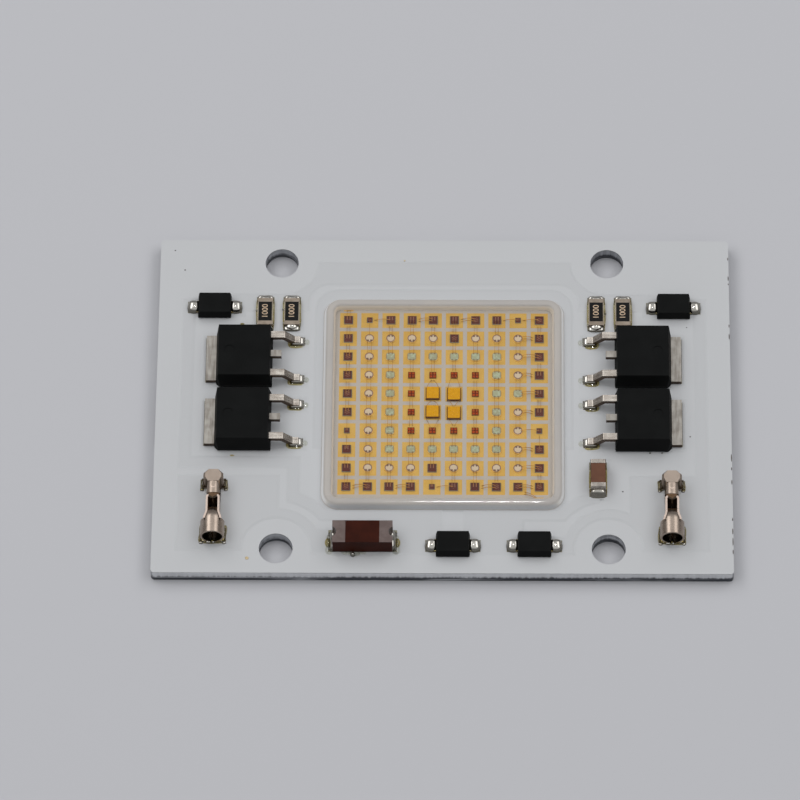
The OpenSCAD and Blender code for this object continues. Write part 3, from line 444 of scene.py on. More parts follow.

# %% [markdown]
# Six kinds of die share the array. Contacts modelled on a hundred dies would be thousands of faces too
# small to see, so each kind gets a material that draws its face round the die's own middle. All dies of a
# kind are one mesh, so a node group counts off the cells: it gives the place on a die in millimetres, a
# random pick for each cell, and odd columns. The side faces get a painted tone and glow a little: painted
# light, for the light that comes through the clear body of a die and to lift the shade on the side faces.

# %% Die helpers
PITCH = 2.226
ARRAY_SHIFT = 0.1
HALF_CELLS = 5.0
die_cell, _, leave = start_group("die_cell", ["U", "V", "Pick", "Odd"])
first_corner = (HALF_CELLS, HALF_CELLS - ARRAY_SHIFT / PITCH, 0.0)
steps = vector_calc(die_cell, "MULTIPLY_ADD", object_place(die_cell), [1 / (PITCH * MM)] * 3, first_corner)
inside = vector_calc(die_cell, "SUBTRACT", vector_calc(die_cell, "FRACTION", steps), (0.5, 0.5, 0.0))
from_middle = axes(die_cell, vector_calc(die_cell, "MULTIPLY", inside, [PITCH] * 3))
column_row = vector_calc(die_cell, "MULTIPLY", vector_calc(die_cell, "FLOOR", steps), (1.0, 1.0, 0.0))
column = axes(die_cell, column_row)[0]
feed(die_cell, leave.inputs["U"], from_middle[0])
feed(die_cell, leave.inputs["V"], from_middle[1])
feed(die_cell, leave.inputs["Pick"], add(die_cell, "TexWhiteNoise", {"Vector": column_row}).outputs[0])
feed(die_cell, leave.inputs["Odd"], calc(die_cell, "MODULO", column, 2.0))


def start_die(name, face, shade, **plain):
    material, tree, surface = start_material(name, **plain)
    at = use_group(tree, die_cell)
    patches = use_group(tree, mottle, Patch_Scale=3000.0, Grain_Scale=16000.0)
    colour = blend(tree, calc(tree, "MULTIPLY", at["Pick"], 0.4), face, shade)
    colour = blend(tree, span(tree, patches["Grain"], 0.4, 0.7, 0.0, 0.2), colour, shade)
    u, v = (calc(tree, "ABSOLUTE", at[side]) for side in ("U", "V"))
    return material, tree, surface, at, u, v, colour


# Painted light: side faces get their own tone and an emission glow.
def end_die(tree, surface, colour, side, painted_glow):
    top = use_group(tree, facing)["Top"]
    set_looks(tree, surface, base_color=blend(tree, top, side, colour),
              emission_color=blend(tree, top, painted_glow, paint(0, 0, 0)), emission_strength=1.0)


print("die helpers ready")

# %% [markdown]
# The dark dies are square and come in two sizes. Some carry a pair of contact strips and some a few
# slanting dashes, and a paler band runs along two sides. A list could say which die has which contact.
# The random pick of the cell mixes them as well, and needs no list.

# %% Dark dies
def near(tree, value, middle, reach, soft=0.03):
    gap = calc(tree, "ABSOLUTE", calc(tree, "SUBTRACT", value, middle))
    return span(tree, gap, reach, reach + soft, 1.0, 0.0)


def strip_die(name, half):
    material, tree, surface, at, u, v, colour = start_die(
        name, paint(94, 50, 42), paint(74, 38, 33), roughness=0.3, specular=0.1)
    colour = blend(tree, span(tree, u, half - 0.1, half - 0.06), colour, paint(98, 90, 82))
    pair = both(tree, near(tree, u, 0.3 * half, 0.1 * half), near(tree, at["V"], 0.36 * half, 0.42 * half))
    slant = calc(tree, "MULTIPLY_ADD", at["U"], -0.5, at["V"])
    rows = near(tree, calc(tree, "PINGPONG", slant, 0.1), 0.0, 0.03)
    dashes = both(tree, rows, near(tree, u, 0.0, 0.5 * half), near(tree, v, 0.0, 0.5 * half))
    dashed = span(tree, at["Pick"], 0.5, 0.55)
    colour = blend(tree, both(tree, pair, opposite(tree, dashed), 0.8), colour, paint(140, 104, 86))
    colour = blend(tree, both(tree, dashes, dashed, 0.75), colour, paint(150, 104, 80))
    end_die(tree, surface, colour, side=paint(136, 134, 122), painted_glow=paint(80, 80, 75))
    print(name)
    return material


large_face = strip_die("large_die_face", half=0.475)
small_face = strip_die("small_die_face", half=0.3)

# %% [markdown]
# The pale dies are round, with a dark rim and two notches where the wires land, and in every other column
# they are turned about. The clear dies are cloudy, with a darker frame and two bond marks. Distances from
# the middle draw both: a true distance gives a circle, and the larger of the two sides gives a square.

# %% Round and clear dies
NOTCH_U = 0.17
NOTCH_V = 0.27


def distance(tree, across, along):
    squares = [calc(tree, "POWER", side, 2.0) for side in (across, along)]
    return calc(tree, "SQRT", calc(tree, "ADD", *squares))


round_face, tree, surface, at, u, v, colour = start_die(
    "round_die_face", paint(206, 187, 160), paint(192, 172, 144), roughness=0.4, specular=0.2)
colour = blend(tree, span(tree, distance(tree, u, v), 0.33, 0.4), colour, paint(128, 98, 90))
to_notch_u = calc(tree, "SUBTRACT", u, NOTCH_U)
notch_side = calc(tree, "MULTIPLY_ADD", at["Odd"], -2 * NOTCH_V, NOTCH_V)
to_notch_v = calc(tree, "SUBTRACT", at["V"], notch_side)
notch = span(tree, distance(tree, to_notch_u, to_notch_v), 0.08, 0.14, 0.95, 0.0)
colour = blend(tree, notch, colour, paint(100, 74, 60))
end_die(tree, surface, colour, side=paint(250, 218, 146), painted_glow=paint(122, 102, 58))

clear_face, tree, surface, _, u, v, colour = start_die(
    "clear_die_face", paint(163, 168, 138), paint(144, 136, 114), roughness=0.35, specular=0.2)
blots = use_group(tree, mottle, Patch_Scale=4200.0, Grain_Scale=16000.0)["Patch"]
colour = blend(tree, span(tree, blots, 0.5, 0.62, 0.0, 0.7), colour, paint(178, 188, 160))
colour = blend(tree, span(tree, calc(tree, "MAXIMUM", u, v), 0.34, 0.45), colour, paint(146, 126, 92))
bond = both(tree, near(tree, u, 0.19, 0.04), near(tree, v, 0.36, 0.05))
colour = blend(tree, calc(tree, "MULTIPLY", bond, 0.7), colour, paint(104, 84, 62))
end_die(tree, surface, colour, side=paint(250, 218, 142), painted_glow=paint(124, 104, 58))
print(round_face.name, clear_face.name)

# %% [markdown]
# The red dies carry a dark cross between four bright fields. The large chips in the middle hide under
# plates of phosphor, a yellow powder in silicone that is darker along the rim. The plates in odd columns
# have slipped forward a little, so their rim is drawn further forward too, which a plain square mask
# would miss.

# %% Red dies and phosphor plates
red_face, tree, surface, _, u, v, colour = start_die(
    "red_die_face", paint(172, 70, 20), paint(146, 59, 18), roughness=0.35, specular=0.05)
cross = span(tree, calc(tree, "MINIMUM", u, v), 0.03, 0.07, 0.9, 0.0)
colour = blend(tree, cross, colour, paint(78, 26, 20))
colour = blend(tree, span(tree, calc(tree, "MAXIMUM", u, v), 0.28, 0.33), colour, paint(82, 30, 22))
end_die(tree, surface, colour, side=paint(90, 60, 40), painted_glow=paint(84, 66, 34))

plate_base, tree, surface, *_, colour = start_die(
    "plate_chip_face", paint(110, 72, 30), paint(80, 50, 24), roughness=0.4)
end_die(tree, surface, colour, side=paint(84, 48, 20), painted_glow=paint(20, 12, 4))

PLATE_SLIP = 0.15
phosphor, tree, surface = start_material("phosphor", roughness=0.55, specular=0.1)
patches = use_group(tree, mottle, Patch_Scale=4200.0, Grain_Scale=15000.0)
colour = blend(tree, patchy(tree, patches), paint(214, 156, 6), paint(203, 143, 6))
colour = blend(tree, span(tree, patches["Grain"], 0.4, 0.7, 0.0, 0.3), colour, paint(222, 160, 20))
at = use_group(tree, die_cell)
side_rim = span(tree, calc(tree, "ABSOLUTE", at["U"]), 0.61, 0.66)
front_rim = span(tree, calc(tree, "MULTIPLY_ADD", at["Odd"], PLATE_SLIP, at["V"]), -0.66, -0.59, 1.0, 0.0)
colour = blend(tree, calc(tree, "MAXIMUM", side_rim, front_rim), colour, paint(96, 56, 16))
end_die(tree, surface, colour, side=paint(92, 54, 18), painted_glow=paint(20, 12, 4))
print(red_face.name, plate_base.name, phosphor.name)

# %% [markdown]
# Packages are moulded from black filled epoxy, matte with a fine grain from the mould. The chip parts are
# ceramic, glaze and laminate, which are hard and a little glossy. Grain in the mesh would need millions
# of faces, so a bump of very fine noise gives it. One helper makes them all, and the ink and the grit
# too.

# %% Mouldings and ceramics
def grainy(name, dark, light, patch, grain, rough, depth, **plain):
    material, tree, surface = start_material(name, **plain)
    patches = use_group(tree, mottle, Patch_Scale=patch, Grain_Scale=grain)
    set_looks(tree, surface, base_color=blend(tree, patchy(tree, patches), dark, light),
              roughness=grain_rough(tree, patches, rough - 0.08, rough + 0.08),
              normal=relief(tree, patches["Grain"], 0.5, depth))
    print(name)
    return material


black_epoxy = grainy("black_epoxy", paint(13, 14, 14), paint(17, 18, 18),
                     patch=500.0, grain=9000.0, rough=0.66, depth=0.01, specular=0.08)
white_ceramic = grainy("white_ceramic", paint(150, 138, 118), paint(168, 156, 136),
                       patch=900.0, grain=9000.0, rough=0.5, depth=0.004)
black_glaze = grainy("black_glaze", paint(18, 17, 17), paint(24, 22, 22),
                     patch=1200.0, grain=9000.0, rough=0.42, depth=0.004, specular=0.12)
brown_ceramic = grainy("brown_ceramic", paint(94, 60, 44), paint(104, 68, 50),
                       patch=900.0, grain=9000.0, rough=0.42, depth=0.006, specular=0.2)
brown_laminate = grainy("brown_laminate", paint(50, 19, 11), paint(60, 24, 14),
                        patch=700.0, grain=7000.0, rough=0.45, depth=0.008, specular=0.06)
number_ink = grainy("number_ink", paint(196, 170, 142), paint(214, 188, 160),
                    patch=2500.0, grain=16000.0, rough=0.6, depth=0.002)
dark_grit = grainy("dark_grit", paint(44, 38, 34), paint(80, 68, 58),
                   patch=9000.0, grain=20000.0, rough=0.7, depth=0.01)
brown_grit = grainy("brown_grit", paint(188, 166, 124), paint(204, 184, 148),
                    patch=9000.0, grain=20000.0, rough=0.6, depth=0.01)

# %% [markdown]
# The wire terminals are folded from plated sheet. Their bore and the stop are painted dark as painted
# shade, the channel behind the bore is soiled, a dull brown that is partly painted shade, the tops of the
# channel's walls carry a painted highlight, and the hood is a little rougher than the barrel. Each
# terminal is one solid, so it can't have a material for each place. Masks find the places, from the
# distance to the bore's axis, the height, the way a face points and how far back it lies.

# %% Terminal marks
BORE_X = 23.68
BORE_Z = 2.94
RIDGE_Z = 3.79
STOP_Y = -12.2


def terminal_marks(tree):
    at = axes(tree, object_place(tree))
    faces = axes(tree, face_normal(tree))
    across = calc(tree, "MULTIPLY_ADD", calc(tree, "SIGN", at[0]), -BORE_X * MM, at[0])
    above = calc(tree, "SUBTRACT", at[2], BORE_Z * MM)
    outward = calc(tree, "MULTIPLY_ADD", across, faces[0], calc(tree, "MULTIPLY", above, faces[2]))
    inside = span_mm(tree, outward, -0.25, 0.0, 1.0, 0.0)
    wall_top = near(tree, at[2], RIDGE_Z * MM, 0.01 * MM, 0.01 * MM)
    # Painted highlight: the flat tops of the walls are marked to be painted bright.
    ridge = both(tree, wall_top, span(tree, faces[2], 0.9, 0.97))
    stop = both(tree, near(tree, at[1], STOP_Y * MM, 0.26 * MM, 0.02 * MM),
                near(tree, across, 0.0, 0.42 * MM, 0.04 * MM))
    middle = near(tree, across, 0.0, 0.5 * MM, 0.1 * MM)
    behind_barrel = span_mm(tree, at[1], -15.1, -14.8)
    channel = both(tree, inside, middle, behind_barrel, opposite(tree, stop))
    hood = both(tree, span_mm(tree, at[1], -12.1, -11.9), opposite(tree, inside))
    # Painted shade: inside faces and the stop are marked to be painted dark.
    dark = calc(tree, "MAXIMUM", inside, stop)
    return dark, ridge, channel, hood


print("terminal axis at x", BORE_X, "and height", BORE_Z)

# %% [markdown]
# Tin, nickel and solder are the bright metals of the board. Leads are drawn and tinned, with dull sheared
# sides, end caps are blotchy, and solder is smooth because it froze from a liquid. A material built by
# hand for each would repeat itself, so one helper makes them all: two close tones in soft patches, a
# roughness that wanders and a very low bump, and then streaks, dull sides, painted shade on the steep
# faces of solder, or soil with painted shade and a painted highlight, where a part has them.

# %% Bright metals
SHEARED = paint(84, 70, 60)
RIDGE_HIGHLIGHT = paint(216, 196, 183)
BORE_SHADE = paint(66, 58, 50)
HOOD_ROUGHER = 0.07


def bright_metal(name, dark, light, patch, rough, depth, dull_sides_and_shade=None, streaks=None, soil_and_shade=None):
    material, tree, surface = start_material(name, metallic=1.0)
    patches = use_group(tree, mottle, Patch_Scale=patch, Grain_Scale=5000.0)
    colour = blend(tree, patchy(tree, patches), dark, light)
    roughness = span(tree, patches["Grain"], 0.25, 0.75, *rough)
    if streaks:
        drawn = span(tree, squeezed_noise(tree, streaks), 0.42, 0.66, 0.0, 0.4)
        colour = blend(tree, drawn, colour, SHEARED)
    # Steep faces take this tone: dull sheared metal on leads and tabs, painted shade on solder.
    if dull_sides_and_shade:
        colour = blend(tree, use_group(tree, facing)["Top"], dull_sides_and_shade, colour)
    if soil_and_shade:
        shaded_inside, ridge, channel, hood = terminal_marks(tree)
        # Painted highlight on the wall tops, painted shade in the bore and at the stop, and a soiled brown
        # in the channel that is partly painted shade.
        colour = blend(tree, ridge, colour, RIDGE_HIGHLIGHT)
        colour = blend(tree, shaded_inside, colour, blend(tree, channel, BORE_SHADE, soil_and_shade))
        roughness = calc(tree, "MULTIPLY_ADD", hood, HOOD_ROUGHER, roughness)
        set_looks(tree, surface, metallic=span(tree, channel, 0.0, 1.0, 1.0, 0.2))
    set_looks(tree, surface, base_color=colour, roughness=roughness,
              normal=relief(tree, patches["Grain"], 0.25, depth))
    print(name)
    return material


lead_tin = bright_metal("lead_tin", paint(194, 184, 174), paint(222, 214, 204), patch=1300.0,
                        rough=(0.22, 0.34), depth=0.006, dull_sides_and_shade=SHEARED, streaks=(700.0, 4200.0, 700.0))
tab_tin = bright_metal("tab_tin", paint(152, 147, 140), paint(174, 169, 162), patch=1100.0,
                       rough=(0.32, 0.44), depth=0.006, dull_sides_and_shade=SHEARED, streaks=(3600.0, 500.0, 500.0))
end_tin = bright_metal("end_tin", paint(138, 126, 113), paint(158, 145, 132), patch=1300.0,
                       rough=(0.3, 0.42), depth=0.006)
silver_end = bright_metal("silver_end", paint(160, 152, 145), paint(188, 180, 172), patch=1500.0,
                          rough=(0.22, 0.34), depth=0.006)
sheet_tin = bright_metal("sheet_tin", paint(162, 147, 135), paint(172, 157, 145), patch=900.0,
                         rough=(0.25, 0.33), depth=0.003, soil_and_shade=paint(150, 120, 94))
cap_plating = bright_metal("cap_plating", paint(100, 88, 85), paint(110, 98, 95), patch=1400.0,
                           rough=(0.38, 0.48), depth=0.006)
# Painted shade: the steep faces of solder are painted darker.
bright_solder = bright_metal("bright_solder", paint(180, 176, 169), paint(200, 196, 189), patch=1500.0,
                             rough=(0.1, 0.18), depth=0.004, dull_sides_and_shade=paint(122, 118, 109))

# %% [markdown]
# Every solid from the CAD model gets its finish here, by name. The solids could be copied and changed as
# well, but their shapes are right, so only the material slots change and the meshes stay as they came.

# %% Finishes on the solids
FOUR = range(1, 5)
TERMINALS = ("terminal_left", "terminal_right")


def dress(material, *names):
    for name in names:
        slots = nodes[name].data.materials
        slots.clear()
        slots.append(material)


dress(core_metal, "core_plate")
dress(resin_layer, "insulation")
dress(copper_foil, "copper_traces")
dress(mask_white, "solder_mask")
dress(dam_silicone, "dam")
dress(clear_gel, "gel")
dress(gold_plate, "die_pads", "string_end_pads")
dress(gold_wire, "bond_wires")
dress(large_face, "large_dies")
dress(small_face, "small_dies")
dress(round_face, "round_dies")
dress(clear_face, "clear_dies")
dress(red_face, "red_dies")
dress(plate_base, "plate_chips")
dress(phosphor, "phosphor_plates")
for i in FOUR:
    dress(black_epoxy, f"driver_{i}_body", f"diode_{i}_body")
    dress(tab_tin, f"driver_{i}_tab")
    dress(lead_tin, f"driver_{i}_leads", f"diode_{i}_leads")
    dress(end_tin, f"resistor_{i}_ends")
    dress(white_ceramic, f"resistor_{i}_core")
    dress(black_glaze, f"resistor_{i}_coat")
dress(brown_ceramic, "capacitor_body")
dress(silver_end, "capacitor_ends")
dress(brown_laminate, "fuse_body")
dress(cap_plating, "fuse_caps")
dress(sheet_tin, *TERMINALS)
dress(bright_solder, "driver_solder", "diode_solder", "chip_solder", "fuse_solder", "terminal_solder")
print("dressed", len(nodes), "solids")

# %% [markdown]
# The floor is a plain pale sheet. It isn't part of the object. A floor without end would put a dark
# horizon into the metal. This one ends a little way off, so that low reflections see the tent.

# %% Floor
FLOOR_HALF = 0.3
FLOOR_DROP = 0.00002
sheet = bmesh.new()
bmesh.ops.create_grid(sheet, x_segments=1, y_segments=1, size=FLOOR_HALF)
bmesh.ops.translate(sheet, verts=sheet.verts, vec=(0.0, 0.0, -FLOOR_DROP))
floor_mesh = bpy.data.meshes.new("floor")
sheet.to_mesh(floor_mesh)
sheet.free()
floor = bpy.data.objects.new("floor", floor_mesh)
scene.collection.objects.link(floor)
pale_sheet, tree, surface = start_material("pale_sheet", roughness=0.7, specular=0.2)
set_looks(tree, surface, base_color=paint(189, 189, 193))
floor_mesh.materials.append(pale_sheet)
print("floor", pale_sheet.name)

# %% [markdown]
# Mask flows off the edge of the copper in a short ramp, where the CAD mask has a step. The ramps could be
# drawn along each track, but the CAD mesh already knows every edge. Its bare field is copied and inset by
# the ramp's width. The ring that this leaves has its outer side lifted to the mask's upper level, and
# stretches along the board's edge and the screw holes are dropped.

# %% Mask ramps
RAMP_WIDE = 0.26
RAMP_LIFT = 0.002
HOLE_AT = (17.15, 17.15)
HOLE_R = 1.75
RIM_X = 29.5
RIM_Y = 19.5


def finish_piece(name, shape, material):
    mesh = bpy.data.meshes.new(name)
    shape.to_mesh(mesh)
    shape.free()
    mesh.shade_smooth()
    mesh.materials.append(material)
    made = bpy.data.objects.new(name, mesh)
    scene.collection.objects.link(made)
    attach(made, "root")
    print(name, len(mesh.polygons), "faces")
    return made


def flat_key(vert):
    return tuple(round(c * 1e7) for c in vert.co.xy)


def at_rim_of_board(vert):
    x, y = abs(vert.co.x) / MM, abs(vert.co.y) / MM
    to_hole = math.hypot(x - HOLE_AT[0], y - HOLE_AT[1])
    return x > RIM_X or y > RIM_Y or to_hole < HOLE_R + 0.1


ramp = bmesh.new()
ramp.from_mesh(nodes["solder_mask"].data)
bmesh.ops.remove_doubles(ramp, verts=ramp.verts, dist=1e-6)
other = [f for f in ramp.faces if f.normal.z < 0.99 or f.calc_center_median().z > (Z_BARE + 0.01) * MM]
bmesh.ops.delete(ramp, geom=other, context="FACES")
copper_edge = {flat_key(v) for e in ramp.edges if e.is_boundary for v in e.verts}
inset = bmesh.ops.inset_region(
    ramp, faces=ramp.faces[:], thickness=RAMP_WIDE * MM, use_boundary=True, use_even_offset=True)
ring = set(inset["faces"])
dropped = [f for f in ramp.faces if f not in ring
           or sum(at_rim_of_board(v) for v in f.verts if flat_key(v) in copper_edge) == 2]
bmesh.ops.delete(ramp, geom=dropped, context="FACES")
for vert in ramp.verts:
    level = Z_MASK if flat_key(vert) in copper_edge else Z_BARE
    vert.co.z = (level + RAMP_LIFT) * MM
finish_piece("mask_ramps", ramp, mask_white)

# %% [markdown]
# The dam is modelled again as a soft bead. A bevelled curve would give an even tube, but a bead is flat
# below and its two flanks differ. So its profile is a short chain of edges, which is extruded along each
# side and spun round each corner until it closes on itself. A spin can turn a shape inside out, so the
# normals are worked out again. A slow noise makes the bead swell and thin out a little, as a bead from a
# nozzle does.

# %% Dam bead
BEAD_MID = 11.967 * MM
BEAD_CORNER = 1.2 * MM
BEAD_PROFILE = [(0.66, 0.0), (0.59, 0.05), (0.55, 0.16), (0.51, 0.31), (0.44, 0.47), (0.34, 0.61),
                (0.22, 0.69), (0.08, 0.725), (-0.08, 0.742), (-0.22, 0.735), (-0.35, 0.68), (-0.45, 0.57),
                (-0.52, 0.4), (-0.56, 0.2), (-0.6, 0.0)]
SIDE_STEPS = 24
CORNER_STEPS = 10
SWELL = 0.012
SWELL_SCALE = 260.0
run = 2 * (BEAD_MID - BEAD_CORNER)
bead = bmesh.new()
chain = [bead.verts.new((-run / 2, -BEAD_MID - out * MM, (Z_MASK + up) * MM)) for out, up in BEAD_PROFILE]
front = [bead.edges.new(pair) for pair in zip(chain, chain[1:])]
for side in range(4):
    turn = Matrix.Rotation(side * math.pi / 2, 3, "Z")
    for _ in range(SIDE_STEPS):
        grown = bmesh.ops.extrude_edge_only(bead, edges=front)["geom"]
        moved = [g for g in grown if isinstance(g, bmesh.types.BMVert)]
        bmesh.ops.translate(bead, verts=moved, vec=turn @ Vector((run / SIDE_STEPS, 0.0, 0.0)))
        edges = [g for g in grown if isinstance(g, bmesh.types.BMEdge)]
        front = [e for e in edges if all(v in moved for v in e.verts)]
    pivot = turn @ Vector((run / 2, -run / 2, 0.0))
    ends = list(dict.fromkeys(v for e in front for v in e.verts))
    spun = bmesh.ops.spin(
        bead, geom=ends + front, cent=pivot, axis=(0, 0, 1), angle=math.pi / 2, steps=CORNER_STEPS)
    front = [g for g in spun["geom_last"] if isinstance(g, bmesh.types.BMEdge)]
bmesh.ops.remove_doubles(bead, verts=bead.verts, dist=1e-6)
bmesh.ops.recalc_face_normals(bead, faces=bead.faces)
for vert in bead.verts:
    swell = noise.noise(Vector((vert.co.x, vert.co.y, 0.0)) * SWELL_SCALE)
    vert.co.z += SWELL * swell * (vert.co.z - Z_MASK * MM)
dam_bead = finish_piece("dam_bead", bead, dam_silicone)
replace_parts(dam_bead, "dam")

# %% [markdown]
# The gel is poured, so its top is level but climbs a little where it wets the dam. A fluid simulation
# would find that rim too, at great cost. Here a block gets rounded corners, its lid is inset a few times,
# and each inner field sinks by a few thousandths of a millimetre more.

# %% Gel filling
GEL_HALF = 11.76
GEL_TOP = 0.66
GEL_FOOT = Z_MASK + 0.01
GEL_CORNER = 0.95
RIM_STEPS = ((0.1, -0.012), (0.2, -0.009), (0.25, -0.004), (0.3, -0.002))
gel = bmesh.new()
bmesh.ops.create_cube(gel, size=1.0)
bmesh.ops.scale(gel, verts=gel.verts, vec=Vector((2 * GEL_HALF, 2 * GEL_HALF, GEL_TOP)) * MM)
bmesh.ops.translate(gel, verts=gel.verts, vec=(0.0, 0.0, (GEL_FOOT + GEL_TOP / 2) * MM))
upright = [e for e in gel.edges if abs(e.verts[0].co.z - e.verts[1].co.z) > 0.1 * MM]
bmesh.ops.bevel(
    gel, geom=upright, offset=GEL_CORNER * MM, affect="EDGES", segments=8, profile=0.5, material=-1)
lid = max(gel.faces, key=lambda f: f.calc_center_median().z)
for thickness, depth in RIM_STEPS:
    bmesh.ops.inset_region(
        gel, faces=[lid], thickness=thickness * MM, depth=depth * MM, use_even_offset=True)
gel_fill = finish_piece("gel_fill", gel, clear_gel)
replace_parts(gel_fill, "gel")

# %% [markdown]
# Solder and flux are liquids that froze, so they need soft shapes. They could be sculpted, but there are
# dozens. A pillow is a cube, subdivided and smoothed until it is soft, stretched between two ends along
# each axis and flattened underneath where it sits. A drop is a ball treated the same way. Noise makes some
# of them wobbly, and it is seeded, so that every run gives the same shapes. Sizes are in millimetres.

# %% Pillows and drops
WOBBLE_SCALE = 900.0
WOBBLE_SEED = 4
noise.seed_set(WOBBLE_SEED)


def seat(soft, level):
    for vert in soft.verts:
        vert.co.z = max(vert.co.z, level * MM)
    bmesh.ops.remove_doubles(soft, verts=soft.verts, dist=1e-7)


def join(shape, fresh):
    spare = bpy.data.meshes.new("spare")
    fresh.to_mesh(spare)
    fresh.free()
    shape.from_mesh(spare)
    bpy.data.meshes.remove(spare)


def pillow(shape, x_ends, y_ends, z_ends, rounds=4, lean=(0.0, 0.0), cuts=4, wobble=0.0):
    low, high = (Vector([pick(ends) for ends in (x_ends, y_ends, z_ends)]) for pick in (min, max))
    soft = bmesh.new()
    bmesh.ops.create_cube(soft, size=1.0)
    bmesh.ops.subdivide_edges(soft, edges=soft.edges[:], cuts=cuts, use_grid_fill=True)
    for _ in range(rounds):
        bmesh.ops.smooth_vert(
            soft, verts=soft.verts, factor=0.5, use_axis_x=True, use_axis_y=True, use_axis_z=True)
    half = max(vert.co.x for vert in soft.verts)
    size = Vector((high.x - low.x, high.y - low.y, 2 * (high.z - low.z)))
    bmesh.ops.scale(soft, verts=soft.verts, vec=size * MM / (2 * half))
    foot = Vector(((low.x + high.x) / 2, (low.y + high.y) / 2, low.z))
    place = Matrix.Translation(foot * MM) @ Matrix.Shear("XY", 4, lean)
    bmesh.ops.transform(soft, matrix=place, verts=soft.verts)
    for vert in soft.verts:
        push = noise.noise_vector(vert.co * WOBBLE_SCALE) * wobble * MM
        vert.co += Vector((push.x, push.y, 0.0))
    seat(soft, low.z)
    join(shape, soft)


def drop(shape, place, radii, rings=6, spokes=14):
    soft = bmesh.new()
    bmesh.ops.create_uvsphere(soft, u_segments=spokes, v_segments=rings, radius=1.0)
    bmesh.ops.scale(soft, verts=soft.verts, vec=Vector(radii) * MM)
    bmesh.ops.translate(soft, verts=soft.verts, vec=Vector(place) * MM)
    seat(soft, place[2])
    join(shape, soft)


print("pillow and drop ready")

# %% [markdown]
# Solder lumps sit where a lead meets its pad. The CAD model has plain blocks there, and these lumps
# replace them. They lean towards the part, since molten solder climbs the warm metal. Their places could
# be typed in, but they come from the boxes of the CAD pieces, so that a lump stays at its lead.

# %% Solder at drivers and diodes
Z_COPPER = 1.64
Z_SEAT = 1.69
LEAD_W = 0.76
TAB_PAD = (24.93, 19.85)
joints = {kind: bmesh.new() for kind in ("driver", "diode", "chip", "fuse", "terminal")}


def box_mm(name):
    low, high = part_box(name)
    return Vector(low) / MM, Vector(high) / MM


def driver_tips(i):
    low, high = box_mm(f"driver_{i}_leads")
    side = 1 if i < 3 else -1
    tip = high.x if side > 0 else low.x
    return side, tip, (low.y + LEAD_W / 2, high.y - LEAD_W / 2)


for i in FOUR:
    side, tip, rows = driver_tips(i)
    for y in rows:
        pillow(joints["driver"], (tip - 0.95 * side, tip + 0.45 * side), (y - 0.5, y + 0.5),
               (Z_COPPER, Z_SEAT + 0.36), lean=(-0.4 * side, 0.0))
    low, high = box_mm(f"driver_{i}_tab")
    pillow(joints["driver"], [-x * side for x in TAB_PAD], (low.y, high.y),
           (Z_COPPER, Z_SEAT + 0.02), rounds=1)
    low, high = box_mm(f"diode_{i}_leads")
    middle = (low.y + high.y) / 2
    for side, end in ((-1, low.x), (1, high.x)):
        pillow(joints["diode"], (end - 0.85 * side, end + 0.5 * side), (middle - 0.77, middle + 0.7),
               (Z_COPPER, Z_SEAT + 0.62), rounds=36, lean=(-0.1 * side, 0.12), cuts=6)
print("lumps for", len(FOUR), "drivers and", len(FOUR), "diodes")

# %% [markdown]
# The chip parts are soldered at two ends. The resistors have a low fillet with a rounder drop on it, the
# capacitor has a tall one, and on the fuse solder fills the half-round notch of each cap. One shape for
# all of them would look stamped, so the number of smoothing rounds and the wobble differ.

# %% Solder at chip parts
FILLET_HALF = 0.84
for i in FOUR:
    low, high = box_mm(f"resistor_{i}_ends")
    middle = (low.x + high.x) / 2
    for side, end in ((-1, low.y), (1, high.y)):
        pillow(joints["chip"], (middle - FILLET_HALF, middle + FILLET_HALF),
               (end - 0.12 * side, end + 0.56 * side), (Z_COPPER, Z_SEAT + 0.3), rounds=5)
        drop(joints["chip"], (middle, end + 0.02 * side, Z_COPPER), (0.8, 0.56, 0.56), rings=14, spokes=24)
low, high = box_mm("capacitor_ends")
middle = (low.x + high.x) / 2
for side, end in ((-1, low.y), (1, high.y)):
    pillow(joints["chip"], (middle - FILLET_HALF, middle + FILLET_HALF),
           (end - 0.12 * side, end + 0.62 * side), (Z_COPPER, Z_SEAT + 0.75),
           rounds=16, lean=(0.0, -0.4 * side), cuts=6)
low, high = box_mm("fuse_caps")
middle = (low.y + high.y) / 2
for side, end in ((-1, low.x), (1, high.x)):
    pillow(joints["fuse"], (end - 0.55 * side, end + 0.42 * side), (middle - 1.2, middle + 1.1),
           (Z_COPPER, Z_SEAT + 0.7), rounds=5, lean=(-0.3 * side, 0.0), wobble=0.1)
    drop(joints["fuse"], (end - 0.28 * side, middle, Z_SEAT + 0.6), (0.4, 0.46, 0.5), rings=10)
print("lumps for chip parts and fuse")

# %% [markdown]
# A terminal is soldered under its mouth and at two rear feet. Small beads of solder stand at the corners
# and on the lip of the mouth, where they catch the light. Then the lumps of each kind of part become one
# piece, which takes the place of the CAD solder of the same kind.

